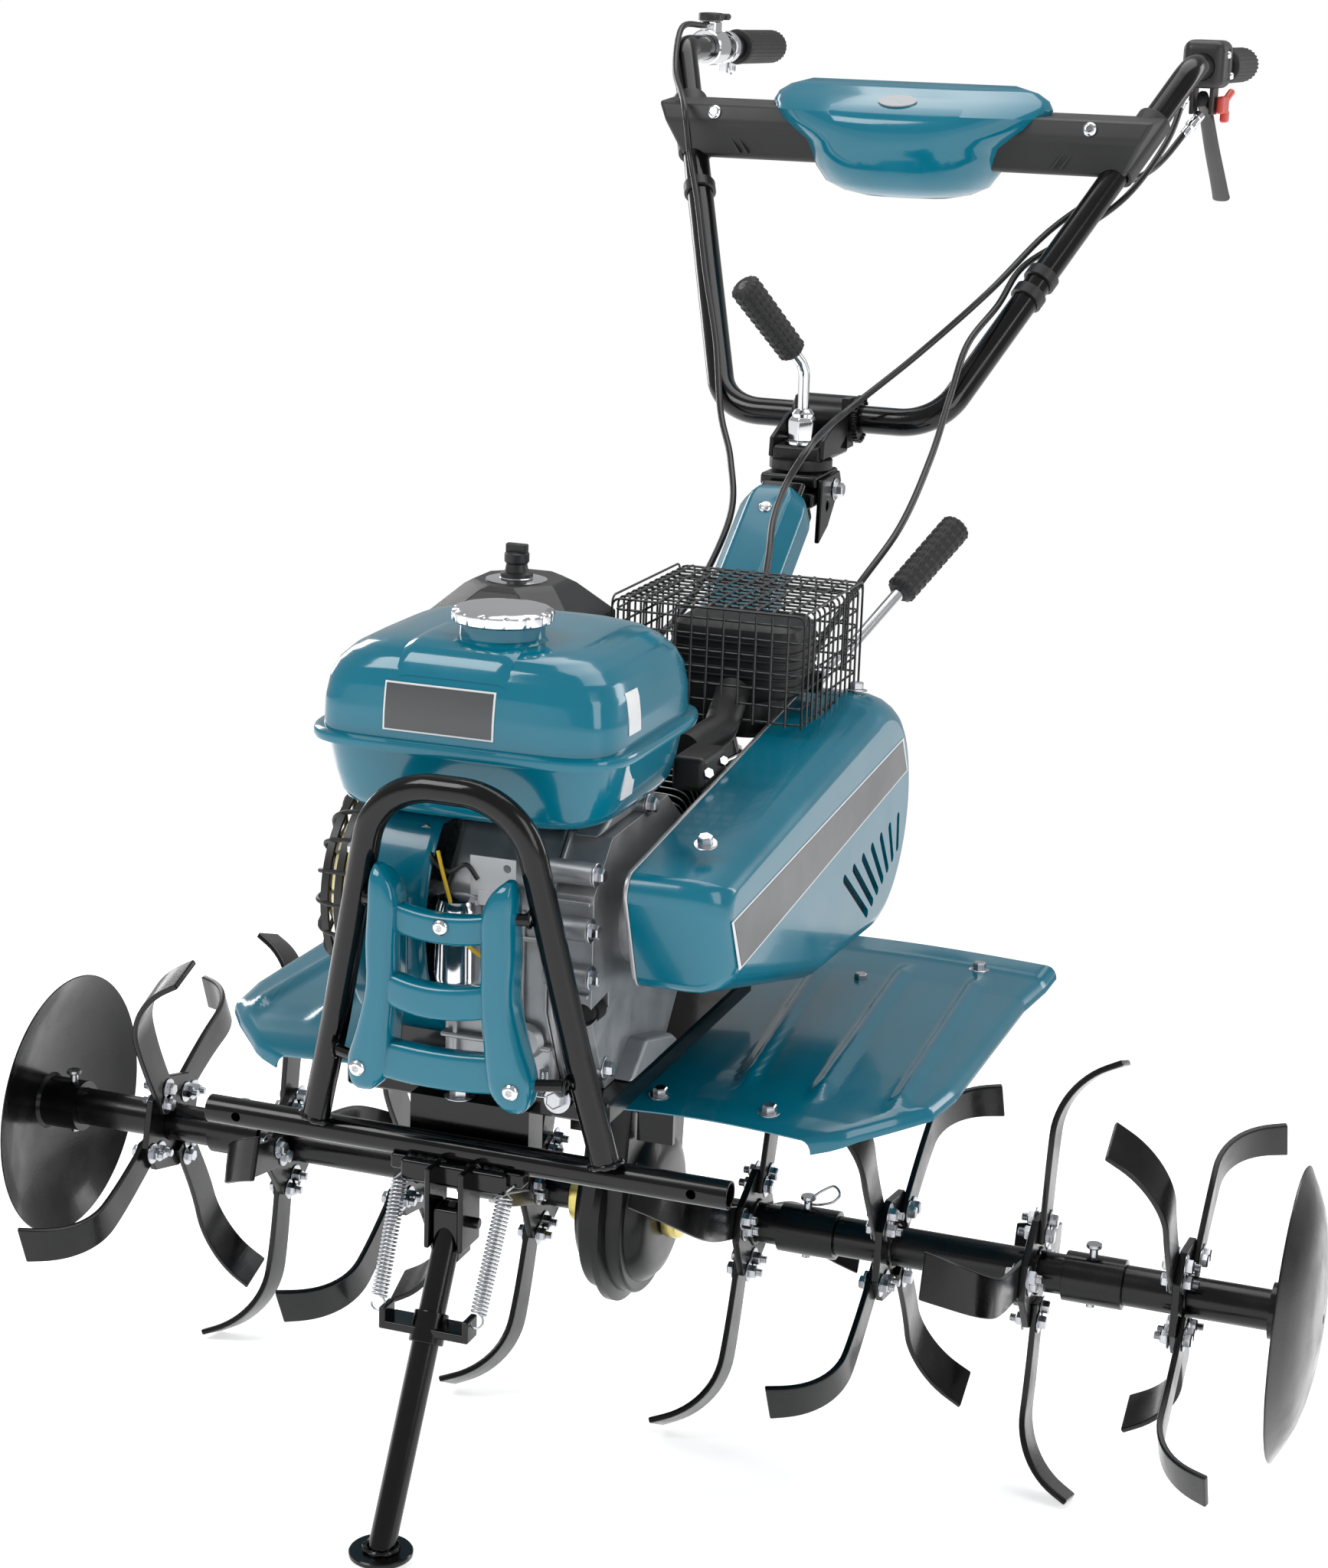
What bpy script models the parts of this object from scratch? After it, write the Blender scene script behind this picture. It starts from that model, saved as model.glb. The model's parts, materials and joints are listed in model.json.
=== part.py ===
"""Mini cultivator: a front-engined petrol rotary tiller with eight tine stars.

Everything is modelled in the machine's own level frame: origin at the centre of the tine
axle, -Y forward, +Y towards the operator, +X the belt side, +Z up, in metres.  The empty
"stance" then leans the machine forward until it stands on its tines and its front foot,
the way it is parked on a hard floor.
"""
import bpy
import bmesh
import math
from mathutils import Matrix, Vector

# ---- driving dimensions (metres) ------------------------------------------------------------
GAP = 0.0003                     # clearance between touching pieces
CLEAR = 0.0006                   # clearance between pieces that turn in one another

AXLE_RADIUS = 0.016
AXLE_BORE_RADIUS = 0.0125        # inside the gearbox
AXLE_HALF = 0.5560
# distance of each tine star from the machine's centre plane, tip angle of its first tine
# (0 forward, 90 up) and the side that each of its four tines bends to
RIGHT_STARS = ((0.100, 28, (-1, 1, 1, -1)), (0.216, 63, (-1, 1, 1, -1)),
               (0.334, 18, (-1, 1, -1, 1)), (0.452, 61, (-1, 1, -1, 1)))
LEFT_STARS = ((0.084, 28, (1, -1, 1, -1)), (0.200, 64, (1, 1, -1, -1)),
              (0.318, 18, (1, -1, 1, -1)), (0.436, 69, (1, -1, 1, -1)))
SUPPORT_ANGLE = math.radians(-72)    # tip angle of the tines that the parked machine stands on
FLANGE_REACH = 0.046             # centre to clipped corner
FLANGE_THICK = 0.006
TINE_REACH = 0.172               # tip centre to axle centre
ROOT_WIDTH = 0.026
TIP_WIDTH = 0.036
TINE_THICK = 0.005
TINE_TIP = 0.012                 # straight run at the tip
TINE_BEND = 0.062                # radius of the sideways bend
TINE_TURN = math.radians(64)     # and its angle
TINE_SWEEP = math.radians(10)    # how far the tip trails the root
DISC_RADIUS = 0.114
DISC_RIM = 0.5345

CRANK = Vector((0.0, -0.265, 0.336))        # crankshaft axis, parallel to X
INPUT = Vector((0.0, 0.045, 0.338))         # gearbox input shaft, parallel to X
PULLEY_X = (0.118, 0.142)
CRANK_PULLEY_RADIUS = 0.036
INPUT_PULLEY_RADIUS = 0.080
ENGINE_FLOOR = 0.2225

BAR = Vector((0.0, -0.366, 0.180))          # front bar, parallel to X
BAR_HALF = 0.197
BAR_RADIUS = 0.010
STAND_PIVOT = Vector((0.0, -0.383, 0.135))
FOOT = Vector((0.0, -0.495, -0.066))        # centre of the foot plate's underside
FOOT_RADIUS = 0.022
FOOT_THICK = 0.004

TANK_CENTRE = Vector((-0.010, -0.272, 0.0))
CAP_CENTRE = Vector((0.0, -0.311, 0.0))
CAP_FLOOR = 0.546

COLUMN_FOOT = Vector((0.0, 0.104, 0.371))
COLUMN_HEAD = Vector((0.0, 0.332, 0.5385))
SWIVEL = Vector((0.0, 0.367, 0.560))        # vertical swivel axis of the handlebar head
BAR_BOTTOM = Vector((0.0, 0.447, 0.5965))   # tilt axis, the handlebar's lowest run
HANDLE_RADIUS = 0.0125
HANDLE_HALF = 0.256
GRIP_END = 1.030
LATCH_PIVOT = Vector((0.272, 0.818, 0.884))
SHIFT_PIVOT = Vector((0.0125, 0.070, 0.352))
GRIP_HEIGHT = 0.913

TEAL = ("teal_paint", (0.008, 0.165, 0.235, 1.0), 0.25, 0.0)
BLACK = ("black_paint", (0.012, 0.012, 0.013, 1.0), 0.25, 0.0)
STEEL = ("zinc_steel", (0.62, 0.62, 0.60, 1.0), 0.30, 1.0)
CAST = ("cast_aluminium", (0.42, 0.43, 0.45, 1.0), 0.45, 0.8)
GOLD = ("yellow_zinc", (0.62, 0.52, 0.20, 1.0), 0.35, 1.0)
PLASTIC = ("black_plastic", (0.030, 0.030, 0.032, 1.0), 0.60, 0.0)
RUBBER = ("black_rubber", (0.015, 0.015, 0.015, 1.0), 0.80, 0.0)
RED = ("red_plastic", (0.60, 0.06, 0.04, 1.0), 0.40, 0.0)

X_AXIS = Vector((1, 0, 0))
Y_AXIS = Vector((0, 1, 0))
Z_AXIS = Vector((0, 0, 1))

# ---- scene and stance -----------------------------------------------------------------------
for old in list(bpy.data.objects):
    bpy.data.objects.remove(old, do_unlink=True)


def tine_rings(station, tip_angle, lean):
    """Cross-sections of one flat-bar tine: bolted root, swept shank, tip bent sideways."""
    angle = tip_angle - TINE_SWEEP
    radial = Vector((0.0, -math.cos(angle), math.sin(angle)))
    trailing = Vector((0.0, math.sin(angle), math.cos(angle)))
    shift = lean * (FLANGE_THICK / 2 + TINE_THICK / 2 - 0.0002)
    start = TINE_REACH - TINE_BEND * math.sin(TINE_TURN) - TINE_TIP * math.cos(TINE_TURN)
    path = [(0.024, 0.0, 0.0), (0.7 * start, 0.0, 0.0), (start, 0.0, 0.0)]
    for i in range(1, 5):
        turn = TINE_TURN * i / 4
        path.append((start + TINE_BEND * math.sin(turn), TINE_BEND * (1 - math.cos(turn)), turn))
    path.append((TINE_REACH, path[-1][1] + TINE_TIP * math.sin(TINE_TURN), TINE_TURN))
    rings = []
    for reach, offset, turn in path:
        swept = TINE_SWEEP * (reach / TINE_REACH) ** 3
        out = radial * math.cos(swept) + trailing * math.sin(swept)
        width = ROOT_WIDTH + (TIP_WIDTH - ROOT_WIDTH) * (reach / TINE_REACH) ** 2
        across = Vector((1, 0, 0)).cross(out) * (width / 2)
        through = (Vector((lean, 0, 0)) * math.cos(turn) - out * math.sin(turn)) * (TINE_THICK / 2)
        centre = out * reach + Vector((station + shift + lean * offset, 0, 0))
        rings.append([centre - across - through, centre + across - through, centre + across + through,
                      centre - across + through])
    return rings


# The parked machine rests on the lowest corner of its supporting tines and on the foot's rim.
foot_rim = FOOT - Vector((0.0, FOOT_RADIUS, 0.0))
tip_rings = tine_rings(0.0, SUPPORT_ANGLE, 1)
LEAN = 0.0
for _ in range(8):
    heights = [corner.y * math.sin(LEAN) + corner.z * math.cos(LEAN) for corner in tip_rings[-1]]
    lowest = tip_rings[-1][heights.index(min(heights))]
    LEAN = math.atan2(foot_rim.z - lowest.z, lowest.y - foot_rim.y)
LIFT = -(foot_rim.y * math.sin(LEAN) + foot_rim.z * math.cos(LEAN))

stance = bpy.data.objects.new("stance", None)
stance.rotation_euler = (LEAN, 0.0, 0.0)
stance.location = (0.0, 0.0, LIFT)
bpy.context.collection.objects.link(stance)


def centre_stance():
    """Slide the machine along Y until its overall length is centred on the origin."""
    bpy.context.view_layer.update()
    graph = bpy.context.evaluated_depsgraph_get()
    reach = []
    for item in stance.children:
        if not item.hide_render:
            solid = item.evaluated_get(graph)
            reach += [(solid.matrix_world @ vertex.co).y for vertex in solid.data.vertices]
    stance.location.y -= (min(reach) + max(reach)) / 2


# ---- shapes ---------------------------------------------------------------------------------
def side_axes(axis):
    """Two unit vectors square to axis and to each other, right-handed with it."""
    helper = Z_AXIS if abs(axis.z) < 0.9 else X_AXIS
    first = helper.cross(axis).normalized()
    return first, axis.cross(first).normalized()


def mesh_of(bm):
    bmesh.ops.remove_doubles(bm, verts=bm.verts, dist=1e-6)
    bmesh.ops.recalc_face_normals(bm, faces=bm.faces)
    mesh = bpy.data.meshes.new("shape")
    bm.to_mesh(mesh)
    bm.free()
    return mesh


def loft(rings, closed=False):
    """A solid skinned through rings of equal length; the end rings become flat caps."""
    bm = bmesh.new()
    loops = [[bm.verts.new(point) for point in ring] for ring in rings]
    count = len(rings[0])
    pairs = list(zip(loops, loops[1:]))
    if closed:
        pairs.append((loops[-1], loops[0]))
    for lower, upper in pairs:
        for i in range(count):
            j = (i + 1) % count
            bm.faces.new((lower[i], lower[j], upper[j], upper[i]))
    if not closed:
        bm.faces.new(loops[0])
        bm.faces.new(loops[-1])
    return mesh_of(bm)


def block(x0, x1, y0, y1, z0, z1):
    outline = [(x0, y0), (x1, y0), (x1, y1), (x0, y1)]
    return loft([[(x, y, z) for x, y in outline] for z in (z0, z1)])


def prism_x(outline, x0, x1):
    """An outline of (y, z) points extruded along X."""
    return loft([[(x, y, z) for y, z in outline] for x in (x0, x1)])


def prism_y(outline, y0, y1):
    """An outline of (x, z) points extruded along Y."""
    return loft([[(x, y, z) for x, z in outline] for y in (y0, y1)])


def circle(centre, axis, radius, sides, phase=0.0):
    first, second = side_axes(axis)
    turns = [phase + 2 * math.pi * i / sides for i in range(sides)]
    return [centre + first * (radius * math.cos(a)) + second * (radius * math.sin(a)) for a in turns]


def rod(start, end, radius, sides=12):
    start, end = Vector(start), Vector(end)
    axis = (end - start).normalized()
    return loft([circle(start, axis, radius, sides), circle(end, axis, radius, sides)])


def turned(origin, axis, profile, sides=24, closed=False):
    """A profile of (radius, distance along axis) points turned about the axis."""
    rings = [circle(Vector(origin) + axis * along, axis, radius, sides) for radius, along in profile]
    return loft(rings, closed)


def pipe(start, end, outer, inner, sides=16):
    start, end = Vector(start), Vector(end)
    length = (end - start).length
    profile = [(outer, 0.0), (outer, length), (inner, length), (inner, 0.0)]
    return turned(start, (end - start).normalized(), profile, sides, closed=True)


def rounded_path(corners, radii, steps=4):
    """A polyline whose inner corners are replaced by arcs."""
    points = [Vector(corners[0])]
    for before, corner, after, radius in zip(corners, corners[1:], corners[2:], radii):
        corner = Vector(corner)
        inward = (Vector(before) - corner).normalized()
        outward = (Vector(after) - corner).normalized()
        half = inward.angle(outward) / 2
        centre = corner + (inward + outward).normalized() * (radius / math.sin(half))
        first = corner + inward * (radius / math.tan(half)) - centre
        last = corner + outward * (radius / math.tan(half)) - centre
        span = first.angle(last)
        for i in range(steps + 1):
            t = i / steps
            swing = (first * math.sin((1 - t) * span) + last * math.sin(t * span)) / math.sin(span)
            points.append(centre + swing)
    points.append(Vector(corners[-1]))
    return points


def smooth_path(knots, per_span=4):
    """Points along a smooth curve through the knots."""
    knots = [Vector(knot) for knot in knots]
    padded = [knots[0] * 2 - knots[1]] + knots + [knots[-1] * 2 - knots[-2]]
    points = []
    for a, b, c, d in zip(padded, padded[1:], padded[2:], padded[3:]):
        for i in range(per_span):
            t = i / per_span
            points.append(0.5 * (2 * b + (c - a) * t + (2 * a - 5 * b + 4 * c - d) * t ** 2
                                 + (3 * b - a - 3 * c + d) * t ** 3))
    points.append(knots[-1])
    return points


def sweep(points, radius, sides=10):
    """A round tube along a polyline."""
    tangents = []
    for i, point in enumerate(points):
        ahead = points[min(i + 1, len(points) - 1)]
        behind = points[max(i - 1, 0)]
        tangents.append((ahead - behind).normalized())
    side = side_axes(tangents[0])[0]
    rings = []
    for point, tangent in zip(points, tangents):
        side = (side - tangent * side.dot(tangent)).normalized()
        other = tangent.cross(side)
        turns = [2 * math.pi * i / sides for i in range(sides)]
        rings.append([point + side * (radius * math.cos(a)) + other * (radius * math.sin(a))
                      for a in turns])
    return loft(rings)


def superellipse(centre, half_x, half_y, power, count):
    """A rounded rectangle as (x, y) points."""
    points = []
    for i in range(count):
        angle = 2 * math.pi * (i + 0.5) / count
        c, s = math.cos(angle), math.sin(angle)
        points.append((centre[0] + half_x * math.copysign(abs(c) ** (2 / power), c),
                       centre[1] + half_y * math.copysign(abs(s) ** (2 / power), s)))
    return points


def arc(centre, radius, start, end, steps):
    """Points of an arc in a plane, angles in degrees."""
    angles = [math.radians(start + (end - start) * i / steps) for i in range(steps + 1)]
    return [(centre[0] + radius * math.cos(a), centre[1] + radius * math.sin(a)) for a in angles]


def strap_outline(first, first_radius, second, second_radius, steps=8):
    """The outline that a belt makes round two circles, the first at smaller Y."""
    dy, dz = second.y - first.y, second.z - first.z
    lean = math.degrees(math.atan2(dz, dy))
    spread = math.degrees(math.acos((first_radius - second_radius) / math.hypot(dy, dz)))
    front = arc((first.y, first.z), first_radius, lean + spread, lean + 360 - spread, steps)
    rear = arc((second.y, second.z), second_radius, lean - spread, lean + spread, steps)
    return front + rear


# ---- objects --------------------------------------------------------------------------------
def material(spec):
    name, colour, roughness, metallic = spec
    found = bpy.data.materials.get(name)
    if found:
        return found
    made = bpy.data.materials.new(name)
    made.use_nodes = True
    shader = made.node_tree.nodes["Principled BSDF"]
    shader.inputs["Base Color"].default_value = colour
    shader.inputs["Roughness"].default_value = roughness
    shader.inputs["Metallic"].default_value = metallic
    return made


def place(name, mesh):
    item = bpy.data.objects.new(name, mesh)
    item.parent = stance
    bpy.context.collection.objects.link(item)
    return item


def node(name, spec, base, add=(), cut=(), bevel=0.0, pivot=None):
    """One piece of the machine: a base shape, with others fused to it or cut from it."""
    base.name = name
    base.materials.append(material(spec))
    item = place(name, base)
    if pivot is not None:
        base.transform(Matrix.Translation(-Vector(pivot)))
        item.location = pivot
    if bevel:
        edge = item.modifiers.new("edge", 'BEVEL')
        edge.width = bevel
        edge.segments = 1
        edge.limit_method = 'ANGLE'
        edge.angle_limit = math.radians(40)
    for operation, shapes in (('UNION', add), ('DIFFERENCE', cut)):
        for index, shape in enumerate(shapes):
            tool = place(f"{name}_{operation.lower()}_{index}", shape)
            tool.hide_render = True
            tool.display_type = 'WIRE'
            tool.hide_set(True)
            step = item.modifiers.new(operation.lower(), 'BOOLEAN')
            step.operation = operation
            step.solver = 'EXACT'
            step.object = tool
    base.shade_smooth()
    base.set_sharp_from_angle(angle=math.radians(35))
    return item


# ---- front bar, hoop, guard and stand -------------------------------------------------------
def build_front():
    bar_left = BAR - X_AXIS * BAR_HALF
    bar_right = BAR + X_AXIS * BAR_HALF
    cheek_y = (STAND_PIVOT.y - 0.016, STAND_PIVOT.y + 0.016)
    cheeks = [block(side * 0.0105, side * 0.0145, *cheek_y, STAND_PIVOT.z - 0.018, BAR.z - 0.004)
              for side in (-1, 1)]
    hangers = [block(side * 0.030, side * 0.050, BAR.y - 0.012, BAR.y + 0.002, BAR.z - 0.016, BAR.z - 0.006)
               for side in (-1, 1)]
    pin_hole = rod(STAND_PIVOT - X_AXIS * 0.02, STAND_PIVOT + X_AXIS * 0.02, 0.0046, 10)
    bore = rod(BAR - X_AXIS * 0.3, BAR + X_AXIS * 0.3, BAR_RADIUS - 0.002, 10)
    node("front_bar", BLACK, rod(bar_left, bar_right, BAR_RADIUS, 14), add=cheeks + hangers,
         cut=[bore, pin_hole])

    def hoop_point(x, z):
        return Vector((x, -0.374 - 0.1 * (z - 0.186), z))

    half = [(-0.109, 0.1918), (-0.090, 0.270), (-0.052, 0.448)]
    corners = [hoop_point(x, z) for x, z in half] + [hoop_point(-x, z) for x, z in reversed(half)]
    path = rounded_path(corners, (0.10, 0.052, 0.052, 0.10), 5)
    node("bumper_hoop", BLACK, sweep(path, 0.010, 10))

    right = [(0.000, 0.366), (0.028, 0.366), (0.037, 0.388), (0.049, 0.385), (0.053, 0.339),
             (0.050, 0.309), (0.056, 0.279), (0.066, 0.257), (0.064, 0.233), (0.046, 0.236),
             (0.030, 0.243), (0.000, 0.241)]
    outline = right + [(-x, z) for x, z in reversed(right[1:-1])]
    front, back = -0.415, -0.397
    windows = [block(-0.030, 0.030, front - 0.02, back + 0.02, 0.323, 0.346),
               block(-0.034, 0.034, front - 0.02, back + 0.02, 0.270, 0.293)]
    bulge = prism_x([(back - 0.004, 0.296), (front - 0.008, 0.300), (front - 0.010, 0.310),
                     (front - 0.004, 0.319), (back - 0.004, 0.319)], -0.042, 0.042)
    pins = []
    for side in (-1, 1):
        pins.append(rod((side * 0.046, -0.404, 0.366), (side * 0.0590, -0.400, 0.366), 0.005, 8))
        pins.append(rod((side * 0.056, -0.404, 0.250), (side * 0.0835, -0.392, 0.250), 0.005, 8))
    node("front_guard", TEAL, prism_y(outline, front, back), add=[bulge] + pins, cut=windows, bevel=0.003)

    down = (FOOT - STAND_PIVOT).normalized()
    leg_top = STAND_PIVOT - down * 0.012
    leg_end = FOOT + Z_AXIS * 0.002
    collar_at = STAND_PIVOT + down * 0.075
    collar = block(-0.031, 0.031, collar_at.y - 0.012, collar_at.y + 0.012, collar_at.z - 0.008,
                   collar_at.z + 0.008)
    pin = rod(STAND_PIVOT - X_AXIS * 0.0185, STAND_PIVOT + X_AXIS * 0.0185, 0.0040, 10)
    foot_plate = rod(FOOT, FOOT + Z_AXIS * FOOT_THICK, FOOT_RADIUS, 24)
    leg = rod(leg_top, leg_end, 0.0095, 12)
    node("stand_leg", BLACK, leg, add=[collar, pin, foot_plate], pivot=STAND_PIVOT)

    for name, side in (("left", -1), ("right", 1)):
        top = Vector((side * 0.040, BAR.y - 0.013, BAR.z - 0.020))
        bottom = Vector((side * 0.0385, collar_at.y - 0.006, collar_at.z + 0.010))
        node(f"stand_spring_{name}", STEEL, rod(top, bottom, 0.006, 10))


# ---- engine ---------------------------------------------------------------------------------
def build_base():
    plate = block(-0.100, 0.100, -0.345, -0.030, 0.2060, ENGINE_FLOOR - GAP)
    tongue = block(-0.045, 0.045, BAR.y + BAR_RADIUS + GAP, -0.330, 0.176, 0.212)
    straps = ((-0.0440, -0.0275), (0.0135, 0.0440))
    hangers = [block(x0, x1, -0.046, -0.040, 0.073, 0.212) for x0, x1 in straps]
    gearbox_slot = block(-0.0265, 0.0125, -0.080, 0.0, 0.19, 0.24)
    node("engine_base", BLACK, plate, add=[tongue] + hangers, cut=[gearbox_slot], bevel=0.002)


def pulley_profile(shaft_radius, radius):
    """A grooved pulley on its shaft end, as (radius, x) points."""
    rim, groove = radius, radius - 0.010
    return [(shaft_radius, PULLEY_X[0]), (rim, PULLEY_X[0]), (rim, 0.1235), (groove, 0.1255),
            (groove, 0.1345), (rim, 0.1365), (rim, PULLEY_X[1]), (shaft_radius, PULLEY_X[1]),
            (shaft_radius, 0.1480)]


def build_engine():
    floor = ENGINE_FLOOR
    case = [(-0.335, floor), (-0.165, floor), (-0.160, 0.330), (-0.180, 0.398), (-0.310, 0.402),
            (-0.340, 0.360)]
    shaft_hole = rod((-0.2, CRANK.y, CRANK.z), (0.2, CRANK.y, CRANK.z), 0.0125, 14)
    node("crankcase", CAST, prism_x(case, -0.030, 0.0550), cut=[shaft_hole], bevel=0.006)

    cover = [(-0.318, floor), (-0.190, floor), (-0.158, 0.262), (-0.158, 0.375), (-0.205, 0.408),
             (-0.315, 0.404), (-0.348, 0.370), (-0.348, 0.285)]
    boss = turned((0.085, CRANK.y, CRANK.z), X_AXIS, [(0.030, 0.0), (0.030, 0.016), (0.026, 0.020)], 20)
    cover_hole = rod((0.0, CRANK.y, CRANK.z), (0.2, CRANK.y, CRANK.z), 0.0125, 14)
    drain = rod((0.078, -0.36, 0.262), (0.078, -0.335, 0.262), 0.009, 12)
    node("crankcase_cover", CAST, prism_x(cover, 0.0550 + GAP, 0.0930), add=[boss], cut=[cover_hole, drain],
         bevel=0.005)

    tilt = Matrix.Translation((0.030, -0.141, 0.336)) @ Matrix.Rotation(math.radians(25), 4, 'X')
    barrel = block(-0.036, 0.036, 0.0, 0.070, -0.036, 0.036)
    fins = [block(-0.046, 0.046, 0.010 + 0.010 * i, 0.0135 + 0.010 * i, -0.046, 0.046) for i in range(5)]
    head = block(-0.050, 0.050, 0.060, 0.105, -0.048, 0.048)
    valve_cover = block(-0.034, 0.034, 0.104, 0.122, -0.036, 0.034)
    for shape in [barrel, head, valve_cover] + fins:
        shape.transform(tilt)
    node("cylinder_block", CAST, barrel, add=fins + [head, valve_cover])

    shaft = [(0.0110, -0.1250), (0.0110, -0.0860), (0.0660, -0.0860), (0.0660, -0.0580), (0.0110, -0.0580)]
    shaft += pulley_profile(0.0110, CRANK_PULLEY_RADIUS)
    node("crankshaft", STEEL, turned(CRANK, X_AXIS, shaft, 20), pivot=CRANK)

    shroud_outline = arc((CRANK.y, CRANK.z), 0.103, 134, 290, 12)
    shroud_outline += [(-0.170, 0.242), (-0.145, 0.300), (-0.152, 0.410)]
    hollow_outline = arc((CRANK.y, CRANK.z), 0.099, 136, 288, 12)
    hollow_outline += [(-0.174, 0.250), (-0.150, 0.302), (-0.156, 0.405)]
    eye = rod((-0.12, CRANK.y, CRANK.z), (-0.06, CRANK.y, CRANK.z), 0.070, 24)
    node("fan_shroud", TEAL, prism_x(shroud_outline, -0.0945, -0.0305),
         cut=[prism_x(hollow_outline, -0.0915, -0.02), eye])

    drum = [(0.0775, 0.0), (0.0775, -0.026), (0.066, -0.038), (0.006, -0.041),
            (0.006, -0.038), (0.063, -0.035), (0.0740, -0.024), (0.0740, 0.0)]
    slots = []
    for i in range(10):
        angle = 2 * math.pi * i / 10
        slot = block(-0.0245, -0.006, -0.0045, 0.0045, 0.070, 0.084)
        slot.transform(Matrix.Rotation(angle, 4, 'X'))
        slot.transform(Matrix.Translation((-0.0948, CRANK.y, CRANK.z)))
        slots.append(slot)
    node("recoil_starter", PLASTIC, turned((-0.0948, CRANK.y, CRANK.z), X_AXIS, drum, 20, closed=True),
         cut=slots)

    grip_at = Vector((-0.1180, -0.176, 0.350))
    pull = Vector((-0.45, 0.89, 0.0)).normalized()
    stem = rod(grip_at, grip_at + pull * 0.016, 0.006, 10)
    bar = rod(grip_at + pull * 0.020 - Z_AXIS * 0.030, grip_at + pull * 0.020 + Z_AXIS * 0.030, 0.0085, 10)
    node("starter_grip", RUBBER, bar, add=[stem], pivot=grip_at)


def build_tank():
    sections = [(0.4150, 0.092, 0.084), (0.4210, 0.101, 0.092), (0.4630, 0.110, 0.100),
                (0.4636, 0.118, 0.107), (0.4700, 0.118, 0.107), (0.4706, 0.110, 0.100),
                (0.5060, 0.106, 0.0965), (0.5200, 0.098, 0.091), (0.5300, 0.084, 0.082),
                (0.5360, 0.070, 0.070), (0.5385, 0.050, 0.050)]
    rings = [[(x, y, z) for x, y in superellipse(TANK_CENTRE, hx, hy, 5.0, 24)] for z, hx, hy in sections]
    neck = rod(CAP_CENTRE + Z_AXIS * 0.505, CAP_CENTRE + Z_AXIS * CAP_FLOOR, 0.029, 20)
    node("fuel_tank", TEAL, loft(rings), add=[neck])

    lobes, points = 14, 42
    rings = []
    for z, radius in ((CAP_FLOOR + GAP, 0.0320), (0.5480, 0.0330), (0.5540, 0.0330), (0.5570, 0.0290)):
        ring = []
        for i in range(points):
            angle = 2 * math.pi * i / points
            reach = radius + 0.0012 * math.cos(lobes * angle)
            ring.append((CAP_CENTRE.x + reach * math.cos(angle), CAP_CENTRE.y + reach * math.sin(angle), z))
        rings.append(ring)
    node("fuel_cap", STEEL, loft(rings), pivot=CAP_CENTRE + Z_AXIS * CAP_FLOOR)


def build_intake():
    case = block(-0.145, -0.022, -0.148, -0.028, 0.4400, 0.4780)
    carburettor = block(-0.080, -0.040, -0.120, -0.070, 0.370, 0.445)
    bowl = rod((-0.060, -0.095, 0.350), (-0.060, -0.095, 0.375), 0.017, 14)
    node("air_cleaner_case", PLASTIC, case, add=[carburettor, bowl], bevel=0.004)

    def ring(inset_x, inset_y, z):
        x0, x1, y0, y1 = -0.150 + inset_x, -0.018 - inset_x, -0.153 + inset_y, -0.022 - inset_y
        cut = 0.018
        return [(x0 + cut, y0, z), (x1 - cut, y0, z), (x1, y0 + cut, z), (x1, y1 - cut, z),
                (x1 - cut, y1, z), (x0 + cut, y1, z), (x0, y1 - cut, z), (x0, y0 + cut, z)]

    rings = [ring(0, 0, 0.4780 + GAP), ring(0, 0, 0.5040), ring(0.022, 0.020, 0.5280),
             ring(0.030, 0.028, 0.5310)]
    node("air_cleaner_cover", PLASTIC, loft(rings))
    profile = [(0.013, 0.0), (0.013, 0.0015), (0.0055, 0.002), (0.0055, 0.010), (0.0095, 0.012),
               (0.0095, 0.026), (0.007, 0.028)]
    knob_at = Vector((-0.080, -0.095, 0.5310 + GAP))
    node("air_cleaner_knob", PLASTIC, turned(knob_at, Z_AXIS, profile, 14), pivot=knob_at)


def build_exhaust():
    outlet = rod((0.120, 0.010, 0.452), (0.132, 0.010, 0.452), 0.009, 12)
    belly = block(0.020, 0.102, -0.036, 0.040, 0.4100, 0.4700)
    canister = block(0.020, 0.124, -0.036, 0.040, 0.4420, 0.5000)
    node("muffler", BLACK, canister, add=[outlet, belly], bevel=0.006)

    x = [-0.012, 0.039, 0.090, 0.142]
    y = [-0.068, 0.0085, 0.085]
    z = [0.4440, 0.482, 0.520]
    bm = bmesh.new()
    corners = {}

    def corner(i, j, k):
        if (i, j, k) not in corners:
            corners[i, j, k] = bm.verts.new((x[i], y[j], z[k]))
        return corners[i, j, k]

    def panel(start, across, along):
        places = [start, start + across, start + across + along, start + along]
        bm.faces.new([corner(*(int(n) for n in place)) for place in places])

    for k in range(2):
        for i in range(3):
            panel(Vector((i, 0, k)), X_AXIS, Z_AXIS)
            panel(Vector((i, 2, k)), Z_AXIS, X_AXIS)
        for j in range(2):
            panel(Vector((0, j, k)), Z_AXIS, Y_AXIS)
            panel(Vector((3, j, k)), Y_AXIS, Z_AXIS)
    for i in range(3):
        for j in range(2):
            panel(Vector((i, j, 2)), X_AXIS, Y_AXIS)
    cage = node("muffler_guard", BLACK, mesh_of(bm))
    wires = cage.modifiers.new("wires", 'WIREFRAME')
    wires.thickness = 0.003
    wires.use_boundary = True
    wires.use_even_offset = False


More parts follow.
